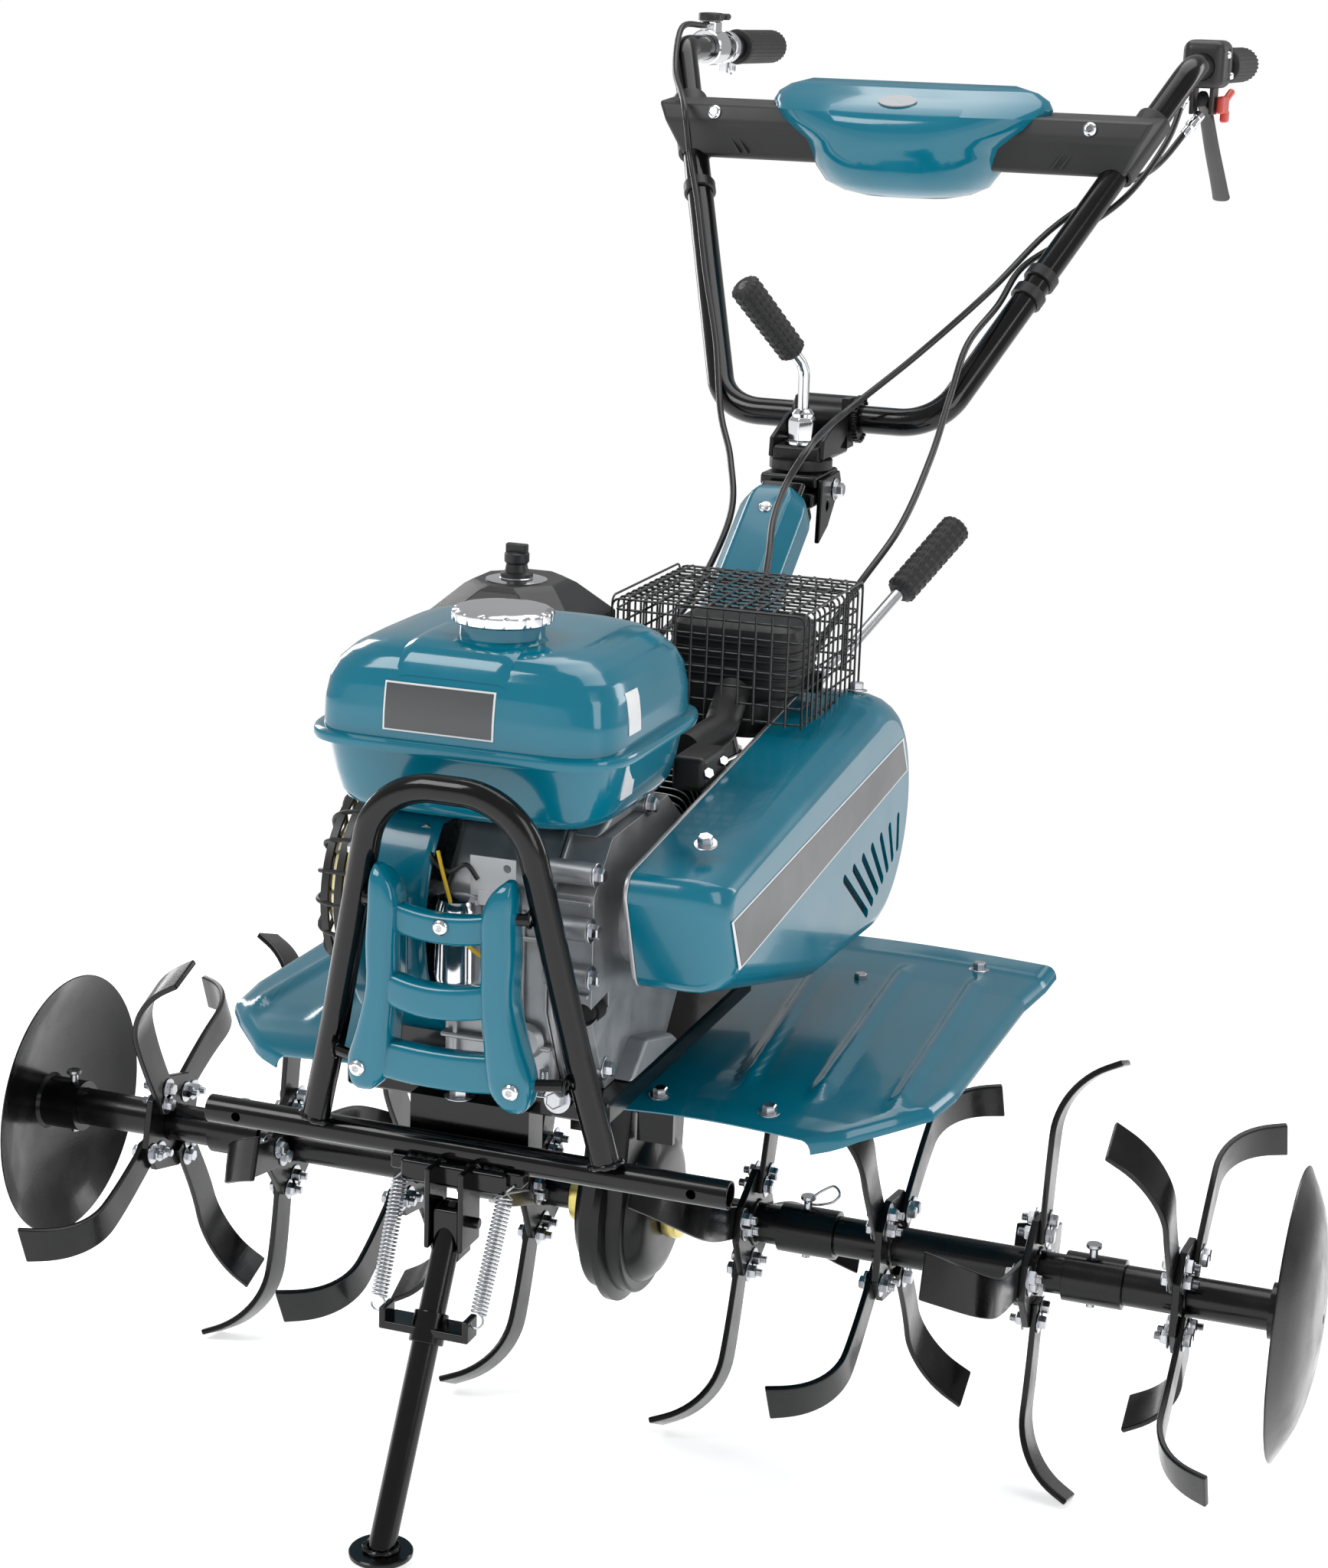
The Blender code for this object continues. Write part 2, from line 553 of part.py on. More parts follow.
# ---- belt drive -----------------------------------------------------------------------------
def cover_outline(inset):
    """The belt cover in side view: a slanted blunt nose and a round tail."""
    nose = [(-0.352 + inset, 0.384 - inset * 0.6), (-0.362 + inset, 0.372),
            (-0.330 + inset, 0.308 + inset * 0.6), (-0.318 + inset, 0.300 + inset), (-0.105, 0.247 + inset)]
    tail = arc((INPUT.y, INPUT.z), 0.099 - inset, -88, 104, 12)
    return nose + tail


def build_belt_drive():
    rings = [(0.1100, 0.0), (0.1660, 0.0), (0.1745, 0.004), (0.1780, 0.012)]
    outer = loft([[(x, y, z) for y, z in cover_outline(inset)] for x, inset in rings])
    hollow = [(0.10, 0.0025), (0.1750, 0.0060)]
    inner = loft([[(x, y, z) for y, z in cover_outline(inset)] for x, inset in hollow])
    node("belt_cover", TEAL, outer, cut=[inner])

    crank_eye = rod((0.09, CRANK.y, CRANK.z), (0.12, CRANK.y, CRANK.z), 0.0330, 20)
    input_eye = rod((0.09, INPUT.y, INPUT.z), (0.12, INPUT.y, INPUT.z), 0.0150, 16)
    node("belt_backplate", STEEL, prism_x(cover_outline(-0.003), 0.1062, 0.1100 - GAP),
         cut=[crank_eye, input_eye])

    profile = [(0.0100, 0.0160)] + pulley_profile(0.0100, INPUT_PULLEY_RADIUS)
    node("gearbox_pulley", STEEL, turned(INPUT, X_AXIS, profile, 28), pivot=INPUT)

    inner_radii = (CRANK_PULLEY_RADIUS - 0.0088, INPUT_PULLEY_RADIUS - 0.0088)
    outside = strap_outline(CRANK, inner_radii[0] + 0.007, INPUT, inner_radii[1] + 0.007, 14)
    inside = strap_outline(CRANK, inner_radii[0], INPUT, inner_radii[1], 14)
    x0, x1 = 0.1263, 0.1337
    rings = [[(x, y, z) for y, z in outline] for x, outline in ((x0, outside), (x1, outside), (x1, inside),
                                                               (x0, inside))]
    node("drive_belt", RUBBER, loft(rings, closed=True))

    pivot = Vector((0.1130, -0.185, 0.338))
    roller_at = Vector((0.1130, -0.105, 0.362))
    arm = rod(pivot, roller_at, 0.0030, 8)
    hub = rod(pivot - X_AXIS * 0.0025, pivot + X_AXIS * 0.004, 0.008, 12)
    roller = rod(roller_at - X_AXIS * 0.002, roller_at + X_AXIS * 0.026, 0.014, 16)
    node("belt_tensioner", STEEL, arm, add=[hub, roller], pivot=pivot)


# ---- transmission, fenders and rotor --------------------------------------------------------
def build_transmission():
    top = Vector((0.0, 0.050, 0.335))
    outline = strap_outline(Vector((0, 0, 0)), 0.074, top, 0.056, 10)
    domes = turned((0, 0, 0), X_AXIS, [(0.050, -0.038), (0.074, -0.026), (0.083, -0.009), (0.083, -0.003),
                                       (0.074, 0.014), (0.050, 0.026)], 28)
    hitch = block(-0.0255, 0.0115, 0.060, 0.130, 0.110, 0.170)
    hitch_hole = rod((-0.007, 0.108, 0.09), (-0.007, 0.108, 0.19), 0.0085, 32)
    axle_bore = rod((-0.1, 0, 0), (0.1, 0, 0), AXLE_BORE_RADIUS + GAP, 16)
    node("gearbox_housing", BLACK, prism_x(outline, -0.026, 0.012), add=[domes, hitch],
         cut=[hitch_hole, axle_bore])

    along = (COLUMN_HEAD - COLUMN_FOOT).normalized()
    normal = Vector((0, -along.z, along.y))

    def column_block(half_x, low, high, start, end):
        corners = [(-half_x, low), (half_x, low), (half_x, high), (-half_x, high)]
        return loft([[COLUMN_FOOT + X_AXIS * x + normal * n + along * s for x, n in corners]
                     for s in (start, end)])

    length = (COLUMN_HEAD - COLUMN_FOOT).length
    post = column_block(0.020, -0.022, 0.022, 0.004, length)
    base_plate = column_block(0.032, -0.034, 0.034, 0.004, 0.011)
    head = block(-0.026, 0.026, 0.322, 0.398, 0.532, SWIVEL.z - GAP)
    node("handle_column", BLACK, post, add=[base_plate, head])
    shell = column_block(0.029, 0.000, 0.038, 0.070, 0.262)
    channel = column_block(0.0270, -0.010, 0.036, 0.060, 0.270)
    node("column_cover", TEAL, shell, cut=[channel])


def fender(side):
    """A pressed sheet over the tines, its front turned down and its corner clipped."""
    stations = [(-0.232, 0.174, 0.215), (-0.215, 0.181, 0.240), (-0.165, 0.186, 0.285),
                (-0.120, 0.1865, 0.290), (0.100, 0.1865, 0.290), (0.150, 0.1880, 0.296),
                (0.172, 0.1940, 0.300)]
    inner = 0.046
    bm = bmesh.new()
    rows = []
    for y, z, reach in stations:
        lip = reach - 0.008
        row = [(inner, z), (inner + 0.5 * (lip - inner), z + 0.002), (lip, z), (reach, z - 0.010)]
        rows.append([bm.verts.new((side * x, y, height)) for x, height in row])
    for front, back in zip(rows, rows[1:]):
        for i in range(3):
            bm.faces.new((front[i], front[i + 1], back[i + 1], back[i]))
    name = "fender_left" if side < 0 else "fender_right"
    sheet = node(name, TEAL, mesh_of(bm))
    skin = sheet.modifiers.new("skin", 'SOLIDIFY')
    skin.thickness = 0.0018
    skin.offset = 0.0
    return sheet


def star(name, station, tip_angle, leans):
    """A square flange on the axle with a tine bolted to each corner."""
    first = math.radians(tip_angle)
    corners = []
    for k in range(4):
        for wing in (-0.32, 0.32):
            angle = first - TINE_SWEEP + math.pi / 2 * k + wing
            corners.append((-FLANGE_REACH * math.cos(angle), FLANGE_REACH * math.sin(angle)))
    plate = prism_x(corners, station - FLANGE_THICK / 2, station + FLANGE_THICK / 2)
    tines = [loft(tine_rings(station, first + math.pi / 2 * k, lean)) for k, lean in enumerate(leans)]
    hole = rod((station - 0.05, 0, 0), (station + 0.05, 0, 0), AXLE_RADIUS + GAP, 16)
    node(name, BLACK, plate, add=tines, cut=[hole])


def build_rotor():
    radius, bore, half = AXLE_RADIUS, AXLE_BORE_RADIUS, AXLE_HALF
    profile = [(radius, -half), (radius, -0.0560), (bore, -0.0560), (bore, 0.0420), (radius, 0.0420),
               (radius, half)]
    node("tine_axle", BLACK, turned((0, 0, 0), X_AXIS, profile, 16))
    for name, x0, x1 in (("left", -0.0535, -0.0390), ("right", 0.0270, 0.0405)):
        ring = [(0.020, x0), (0.0245, x0 + 0.003), (0.0245, x1 - 0.003), (0.021, x1), (bore + GAP, x1),
                (bore + GAP, x0)]
        node(f"axle_collar_{name}", GOLD, turned((0, 0, 0), X_AXIS, ring, 20, closed=True))

    for side, plans, name in ((1, RIGHT_STARS, "right"), (-1, LEFT_STARS, "left")):
        for index, (station, tip_angle, leans) in enumerate(plans, 1):
            star(f"tine_star_{name}_{index}", side * station, tip_angle, leans)
        outer = [(0.0040, 0.5600), (0.0300, 0.5585), (0.0550, 0.5560), (0.0850, 0.5490),
                 (DISC_RADIUS, DISC_RIM + 0.001), (DISC_RADIUS, DISC_RIM - 0.001), (0.0850, 0.5465),
                 (0.0550, 0.5535), (0.0220, 0.5565), (0.0220, 0.5200), (radius + GAP, 0.5200),
                 (radius + GAP, AXLE_HALF + GAP), (0.0040, AXLE_HALF + GAP)]
        profile = [(r, side * x) for r, x in outer]
        node(f"side_disc_{name}", BLACK, turned((0, 0, 0), X_AXIS, profile, 28, closed=True))


# ---- handlebar and controls -----------------------------------------------------------------
def handle_path():
    corners = [(-HANDLE_HALF, GRIP_END, GRIP_HEIGHT), (-HANDLE_HALF, 0.742, GRIP_HEIGHT),
               (-0.101, BAR_BOTTOM.y, BAR_BOTTOM.z)]
    corners += [(-x, y, z) for x, y, z in reversed(corners)]
    return rounded_path(corners, (0.040, 0.050, 0.050, 0.040), 5)


def build_handlebar():
    node("handlebar", BLACK, sweep(handle_path(), HANDLE_RADIUS, 12), pivot=BAR_BOTTOM)
    for name, side in (("left", -1), ("right", 1)):
        cup = [(0.0170, 0.905), (0.0175, 0.985), (0.0165, 1.034), (0.0020, 1.036), (0.0020, GRIP_END + GAP),
               (HANDLE_RADIUS + GAP, GRIP_END + GAP), (HANDLE_RADIUS + GAP, 0.905)]
        sleeve = turned((side * HANDLE_HALF, 0, GRIP_HEIGHT), Y_AXIS, cup, 16, closed=True)
        node(f"grip_{name}", RUBBER, sleeve, pivot=BAR_BOTTOM)

    disc = rod(SWIVEL, SWIVEL + Z_AXIS * 0.010, 0.028, 20)
    arm = block(-0.022, 0.022, SWIVEL.y - 0.020, BAR_BOTTOM.y, SWIVEL.z + 0.006, SWIVEL.z + 0.022)
    clamp = block(-0.030, 0.030, BAR_BOTTOM.y - 0.022, BAR_BOTTOM.y + 0.022, BAR_BOTTOM.z - 0.022,
                  BAR_BOTTOM.z + 0.022)
    tube_hole = rod(BAR_BOTTOM - X_AXIS * 0.1, BAR_BOTTOM + X_AXIS * 0.1, HANDLE_RADIUS + CLEAR, 14)
    node("head_bracket", BLACK, disc, add=[arm, clamp], cut=[tube_hole], pivot=SWIVEL)

    nut_base = SWIVEL + Z_AXIS * (0.022 + GAP)
    nut = rod(nut_base, nut_base + Z_AXIS * 0.030, 0.013, 6)
    lever_knots = [nut_base + Z_AXIS * 0.025, (0.0, 0.365, 0.650), (-0.040, 0.305, 0.724)]
    lever_path = rounded_path(lever_knots, (0.022,), 4)
    grip_start = lever_path[-2].lerp(lever_path[-1], 0.10)
    grip = rod(grip_start, lever_path[-1], 0.0125, 12)
    node("lock_lever", STEEL, nut, add=[sweep(lever_path, 0.005, 8), grip], pivot=SWIVEL)

    tube = sweep(handle_path(), HANDLE_RADIUS + GAP, 12)
    section = [(0.630, 0.846), (0.636, 0.864), (0.690, 0.868), (0.697, 0.840), (0.672, 0.812),
               (0.640, 0.812)]

    def bar_section(grow):
        middle_y = sum(y for y, z in section) / len(section)
        middle_z = sum(z for y, z in section) / len(section)
        return [(y + math.copysign(grow, y - middle_y), z + math.copysign(grow, z - middle_z))
                for y, z in section]

    node("console_bar", PLASTIC, prism_x(bar_section(0.0), -0.246, 0.246), cut=[tube], pivot=BAR_BOTTOM)

    rings = []
    for y, half_x, half_z, rise in ((0.668, 0.128, 0.040, 0.002), (0.650, 0.137, 0.050, 0.0),
                                    (0.620, 0.137, 0.052, -0.002), (0.602, 0.122, 0.046, -0.006),
                                    (0.590, 0.088, 0.032, -0.012)):
        outline = superellipse((0.008, 0.835 + rise), half_x, half_z, 3.0, 24)
        rings.append([(x, y, z) for x, z in outline])
    node("console_cover", TEAL, loft(rings), cut=[prism_x(bar_section(GAP), -0.2, 0.2)], pivot=BAR_BOTTOM)


def build_controls():
    x = HANDLE_HALF
    tube = sweep(handle_path(), HANDLE_RADIUS + GAP, 12)
    housing = block(x - 0.020, x + 0.022, 0.788, 0.840, GRIP_HEIGHT - 0.020, GRIP_HEIGHT + 0.026)
    cheeks = [block(x + a, x + a + 0.004, 0.800, 0.828, 0.868, GRIP_HEIGHT - 0.010)
              for a in (-0.0115, 0.0075)]
    node("clutch_housing", PLASTIC, housing, add=cheeks, cut=[tube], bevel=0.003, pivot=BAR_BOTTOM)

    pivot = Vector((x, 0.814, 0.880))
    blade_path = [pivot, pivot + Vector((0, 0.030, -0.020)), pivot + Vector((0, 0.150, -0.100))]
    rings = []
    sizes = ((blade_path[0] - Y_AXIS * 0.008, 0.0055, 0.008), (blade_path[1], 0.0060, 0.008),
             (blade_path[2], 0.0085, 0.0055))
    for point, half_width, half_thick in sizes:
        rings.append([point + Vector((sx * half_width, sz * half_thick * 0.6, sz * half_thick))
                      for sx, sz in ((-1, -1), (1, -1), (1, 1), (-1, 1))])
    node("clutch_lever", BLACK, loft(rings), pivot=pivot)

    latch = block(x + 0.0125, x + 0.0200, 0.812, 0.846, 0.868, 0.8860)
    node("clutch_latch", RED, latch, bevel=0.002, pivot=LATCH_PIVOT)

    perch = rod((-x, 0.806, GRIP_HEIGHT), (-x, 0.836, GRIP_HEIGHT), 0.0180, 14)
    post = block(-x - 0.009, -x + 0.009, 0.810, 0.832, GRIP_HEIGHT + 0.012, GRIP_HEIGHT + 0.026)
    left_tube = sweep(handle_path(), HANDLE_RADIUS + GAP, 12)
    node("throttle_perch", STEEL, perch, add=[post], cut=[left_tube], pivot=BAR_BOTTOM)
    disc = rod((-x, 0.821, GRIP_HEIGHT + 0.026 + GAP), (-x, 0.821, GRIP_HEIGHT + 0.034), 0.0125, 14)
    tongue = block(-x - 0.006, -x + 0.006, 0.825, 0.862, GRIP_HEIGHT + 0.0285, GRIP_HEIGHT + 0.0325)
    node("throttle_lever", PLASTIC, disc, add=[tongue], pivot=(-x, 0.821, GRIP_HEIGHT + 0.026))

    knots = [(0.0250, 0.070, 0.352), (0.0600, 0.080, 0.372), (0.107, 0.175, 0.442), (0.1614, 0.304, 0.532)]
    path = rounded_path(knots, (0.014, 0.060), 3)
    grip = rod(path[-2].lerp(path[-1], 0.45), path[-1], 0.0130, 12)
    ball = turned(SHIFT_PIVOT, X_AXIS, [(0.008, 0.0), (0.010, 0.003), (0.010, 0.015), (0.007, 0.018)], 12)
    node("shift_lever", STEEL, sweep(path, 0.0055, 8), add=[ball, grip], pivot=SHIFT_PIVOT)


def build_cables():
    """Sheathed control cables, clipped to the handlebar and led down the column."""
    routes = {
        "clutch_cable": [
            (0.250, 0.790, 0.858), (0.226, 0.740, 0.818), (0.196, 0.660, 0.797), (0.158, 0.600, 0.762),
            (0.126, 0.515, 0.712), (0.076, 0.460, 0.656), (0.034, 0.395, 0.612), (0.032, 0.340, 0.603),
            (0.032, 0.283, 0.591), (0.024, 0.250, 0.565), (0.026, 0.210, 0.540), (0.036, 0.170, 0.517),
            (0.050, 0.112, 0.470), (0.078, 0.098, 0.440), (0.103, 0.080, 0.434),
        ],
        "shift_cable": [
            (0.242, 0.786, 0.884), (0.236, 0.740, 0.842), (0.213, 0.680, 0.7935), (0.174, 0.620, 0.757),
            (0.143, 0.570, 0.731), (0.134, 0.520, 0.700), (0.120, 0.470, 0.668), (0.119, 0.420, 0.625),
            (0.120, 0.360, 0.579), (0.117, 0.280, 0.530), (0.099, 0.200, 0.482), (0.060, 0.165, 0.400),
            (0.040, 0.150, 0.325), (0.022, 0.115, 0.300), (0.017, 0.085, 0.290),
        ],
        "throttle_cable": [
            (-0.256, 0.800, 0.935), (-0.262, 0.750, 0.932), (-0.246, 0.690, 0.892), (-0.208, 0.612, 0.862),
            (-0.196, 0.600, 0.815), (-0.176, 0.570, 0.772), (-0.150, 0.524, 0.713), (-0.121, 0.476, 0.655),
            (-0.095, 0.420, 0.597), (-0.067, 0.370, 0.561), (-0.046, 0.310, 0.519), (-0.050, 0.220, 0.460),
            (-0.060, 0.120, 0.430), (-0.066, 0.020, 0.410), (-0.062, -0.066, 0.402),
        ],
    }
    for name, knots in routes.items():
        node(name, RUBBER, sweep(smooth_path(knots, 3), 0.003, 6))


build_front()
build_base()
build_engine()
build_tank()
build_intake()
build_exhaust()
build_belt_drive()
build_transmission()
fender(-1)
fender(1)
build_rotor()
build_handlebar()
build_controls()
build_cables()
centre_stance()
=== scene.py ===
"""Looks of the mini cultivator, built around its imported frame."""
import bmesh
import bpy
import json
import math
from mathutils import Matrix, Vector


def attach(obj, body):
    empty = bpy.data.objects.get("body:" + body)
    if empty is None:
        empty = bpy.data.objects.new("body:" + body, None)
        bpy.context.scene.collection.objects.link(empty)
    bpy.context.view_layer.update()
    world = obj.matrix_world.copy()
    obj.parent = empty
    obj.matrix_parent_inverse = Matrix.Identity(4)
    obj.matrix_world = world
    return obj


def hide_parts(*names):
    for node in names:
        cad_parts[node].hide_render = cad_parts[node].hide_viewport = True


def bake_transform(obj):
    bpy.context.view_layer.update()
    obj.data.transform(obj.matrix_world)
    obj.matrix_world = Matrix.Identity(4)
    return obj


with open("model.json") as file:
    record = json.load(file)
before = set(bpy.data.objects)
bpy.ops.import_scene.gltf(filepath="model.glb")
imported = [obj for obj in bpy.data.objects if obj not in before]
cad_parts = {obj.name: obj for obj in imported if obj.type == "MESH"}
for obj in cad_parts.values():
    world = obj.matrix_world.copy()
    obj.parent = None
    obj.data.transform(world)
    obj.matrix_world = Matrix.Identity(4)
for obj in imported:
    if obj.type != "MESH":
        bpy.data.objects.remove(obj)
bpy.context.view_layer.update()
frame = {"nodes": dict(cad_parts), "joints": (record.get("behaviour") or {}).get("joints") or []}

# ---- the machine's own level frame ----------------------------------------------------------
# Shapes are written in the level frame: origin at the tine axle's centre, -Y forward,
# +X the belt side, +Z up.  LEVEL carries them to the parked, leaning machine.
JOINTS = {joint["name"]: joint for joint in frame["joints"]}
X_AXIS = Vector((1, 0, 0))
Y_AXIS = Vector((0, 1, 0))
Z_AXIS = Vector((0, 0, 1))
UP = Vector(JOINTS["head_swivel"]["axis"]).normalized()
LEVEL = Matrix((X_AXIS, UP.cross(X_AXIS), UP)).transposed().to_4x4()
LEVEL.translation = Vector(JOINTS["rotor_turn"]["pos_m"])

CRANK = Vector((0.0, -0.265, 0.336))
INPUT = Vector((0.0, 0.045, 0.338))
BAR = Vector((0.0, -0.366, 0.18))
STAND_PIVOT = Vector((0.0, -0.383, 0.135))
FOOT = Vector((0.0, -0.495, -0.066))
TANK = Vector((-0.01, -0.272, 0.0))
CAP = Vector((0.0, -0.311, 0.546))
COLUMN_FOOT = Vector((0.0, 0.104, 0.371))
COLUMN_HEAD = Vector((0.0, 0.332, 0.5385))
SWIVEL = Vector((0.0, 0.367, 0.56))
BAR_BOTTOM = Vector((0.0, 0.447, 0.5965))
TUBE = 0.0125
HALF = 0.256
GRIP_HEIGHT = 0.913
COVER_FACE = 0.178

# ---- shapes ---------------------------------------------------------------------------------
def side_axes(axis):
    """Two unit vectors square to axis and to each other, right-handed with it."""
    helper = Z_AXIS if abs(axis.z) < 0.9 else X_AXIS
    first = helper.cross(axis).normalized()
    return first, axis.cross(first).normalized()


def mesh_of(bm, weld=True):
    if weld:
        bmesh.ops.remove_doubles(bm, verts=bm.verts, dist=1e-6)
    bmesh.ops.recalc_face_normals(bm, faces=bm.faces)
    mesh = bpy.data.meshes.new("shape")
    bm.to_mesh(mesh)
    bm.free()
    return mesh


def loft(rings, closed=False, capped=True):
    """A skin through rings of equal length, its ends closed by flat caps."""
    bm = bmesh.new()
    loops = [[bm.verts.new(point) for point in ring] for ring in rings]
    count = len(rings[0])
    pairs = list(zip(loops, loops[1:]))
    if closed:
        pairs.append((loops[-1], loops[0]))
    for lower, upper in pairs:
        for i in range(count):
            j = (i + 1) % count
            bm.faces.new((lower[i], lower[j], upper[j], upper[i]))
    if capped and not closed:
        bm.faces.new(loops[0])
        bm.faces.new(loops[-1])
    return mesh_of(bm)


def sheet(rows, thickness):
    """A grid of points made into a plate of the given thickness."""
    bm = bmesh.new()
    grid = [[bm.verts.new(point) for point in row] for row in rows]
    for near, far in zip(grid, grid[1:]):
        for i in range(len(near) - 1):
            bm.faces.new((near[i], near[i + 1], far[i + 1], far[i]))
    return changed(mesh_of(bm), skin=thickness)


def block(x0, x1, y0, y1, z0, z1):
    outline = [(x0, y0), (x1, y0), (x1, y1), (x0, y1)]
    return loft([[(x, y, z) for x, y in outline] for z in (z0, z1)])


def prism_x(outline, x0, x1):
    """An outline of (y, z) points extruded along X."""
    return loft([[(x, y, z) for y, z in outline] for x in (x0, x1)])


def circle(centre, axis, radius, sides, phase=0.0):
    first, second = side_axes(axis)
    turns = [phase + 2 * math.pi * i / sides for i in range(sides)]
    return [centre + first * (radius * math.cos(a)) + second * (radius * math.sin(a)) for a in turns]


def turned(origin, axis, profile, sides=48, closed=False):
    """A profile of (radius, distance along axis) points turned about the axis."""
    origin, axis = Vector(origin), Vector(axis).normalized()
    return loft([circle(origin + axis * along, axis, radius, sides) for radius, along in profile], closed)


def rod(start, end, radius, sides=32, edge=0.0):
    start, end = Vector(start), Vector(end)
    length = (end - start).length
    if not edge:
        return turned(start, end - start, [(radius, 0.0), (radius, length)], sides)
    steps = [(0.0, 1.0), (0.3, 0.3), (1.0, 0.0)]
    profile = [(radius - edge * side, edge * along) for along, side in steps]
    profile += [(radius - edge * side, length - edge * along) for along, side in reversed(steps)]
    return turned(start, end - start, profile, sides)


def rounded_path(corners, radii, steps=8):
    """A polyline whose inner corners are replaced by arcs."""
    points = [Vector(corners[0])]
    for before, corner, after, radius in zip(corners, corners[1:], corners[2:], radii):
        corner = Vector(corner)
        inward = (Vector(before) - corner).normalized()
        outward = (Vector(after) - corner).normalized()
        half = inward.angle(outward) / 2
        centre = corner + (inward + outward).normalized() * (radius / math.sin(half))
        first = corner + inward * (radius / math.tan(half)) - centre
        last = corner + outward * (radius / math.tan(half)) - centre
        span = first.angle(last)
        for i in range(steps + 1):
            t = i / steps
            swing = (first * math.sin((1 - t) * span) + last * math.sin(t * span)) / math.sin(span)
            points.append(centre + swing)
    points.append(Vector(corners[-1]))
    return points


def smooth_path(knots, per_span=4):
    """Points along a smooth curve through the knots."""
    knots = [Vector(knot) for knot in knots]
    padded = [knots[0] * 2 - knots[1]] + knots + [knots[-1] * 2 - knots[-2]]
    points = []
    for a, b, c, d in zip(padded, padded[1:], padded[2:], padded[3:]):
        for i in range(per_span):
            t = i / per_span
            points.append(0.5 * (2 * b + (c - a) * t + (2 * a - 5 * b + 4 * c - d) * t ** 2
                + (3 * b - a - 3 * c + d) * t ** 3))
    points.append(knots[-1])
    return points


def sweep(points, radius, sides=24, closed=False, flat=1.0):
    """A tube along a polyline; radius is one number or one for each point."""
    points = [Vector(point) for point in points]
    radii = radius if isinstance(radius, list) else [radius] * len(points)
    count = len(points)
    tangents = []
    for i in range(count):
        ahead = points[(i + 1) % count] if closed else points[min(i + 1, count - 1)]
        behind = points[i - 1] if closed else points[max(i - 1, 0)]
        tangents.append((ahead - behind).normalized())
    side = side_axes(tangents[0])[0]
    rings = []
    turns = [2 * math.pi * i / sides for i in range(sides)]
    for point, tangent, reach in zip(points, tangents, radii):
        side = (side - tangent * side.dot(tangent)).normalized()
        other = tangent.cross(side)
        rings.append([point + side * (reach * math.cos(a)) + other * (reach * flat * math.sin(a))
            for a in turns])
    return loft(rings, closed)


def superellipse(centre, half_x, half_y, power=5.0, count=72):
    """A rounded rectangle as (x, y) points."""
    points = []
    for i in range(count):
        angle = 2 * math.pi * (i + 0.5) / count
        c, s = math.cos(angle), math.sin(angle)
        points.append((centre[0] + half_x * math.copysign(abs(c) ** (2 / power), c),
            centre[1] + half_y * math.copysign(abs(s) ** (2 / power), s)))
    return points


def arc(centre, radius, start, end, steps):
    """Points of an arc in a plane, angles in degrees."""
    angles = [math.radians(start + (end - start) * i / steps) for i in range(steps + 1)]
    return [(centre[0] + radius * math.cos(a), centre[1] + radius * math.sin(a)) for a in angles]


def changed(mesh, cut=(), edge=0.0, skin=0.0, segments=3, angle=30, smooth=0):
    """The mesh with tools cut from it, given a skin, rounded edges or a subdivided surface."""
    item = bpy.data.objects.new("work", mesh)
    bpy.context.scene.collection.objects.link(item)
    tools = []
    for shape in cut:
        tool = bpy.data.objects.new("tool", shape)
        bpy.context.scene.collection.objects.link(tool)
        tools.append(tool)
        step = item.modifiers.new("cut", 'BOOLEAN')
        step.operation = 'DIFFERENCE'
        step.solver = 'EXACT'
        step.object = tool
    if skin:
        step = item.modifiers.new("skin", 'SOLIDIFY')
        step.thickness = skin
        step.offset = 0.0
    if edge:
        step = item.modifiers.new("edge", 'BEVEL')
        step.width = edge
        step.segments = segments
        step.limit_method = 'ANGLE'
        step.angle_limit = math.radians(angle)
        step.use_clamp_overlap = True
    if smooth:
        step = item.modifiers.new("smooth", 'SUBSURF')
        step.levels = smooth
        step.render_levels = smooth
    graph = bpy.context.evaluated_depsgraph_get()
    result = bpy.data.meshes.new_from_object(item.evaluated_get(graph))
    for used in [item] + tools:
        bpy.data.objects.remove(used)
    return result


def joined(*shapes):
    bm = bmesh.new()
    for shape in shapes:
        bm.from_mesh(shape)
    mesh = bpy.data.meshes.new("shape")
    bm.to_mesh(mesh)
    bm.free()
    return mesh


def moved(mesh, matrix):
    copy = mesh.copy()
    copy.transform(matrix)
    return copy


def mirrored(mesh):
    copy = mesh.copy()
    copy.transform(Matrix.Scale(-1, 4, X_AXIS))
    copy.flip_normals()
    return copy


def aimed(origin, axis):
    """The matrix that carries +Z to axis and the origin to a point."""
    turn = Vector(axis).normalized().to_track_quat('Z', 'Y')
    return Matrix.Translation(Vector(origin)) @ turn.to_matrix().to_4x4()


# ---- materials ------------------------------------------------------------------------------
def linear(red, green, blue):
    return tuple(((c / 255 + 0.055) / 1.055) ** 2.4 if c > 10 else c / 255 / 12.92
        for c in (red, green, blue)) + (1.0,)


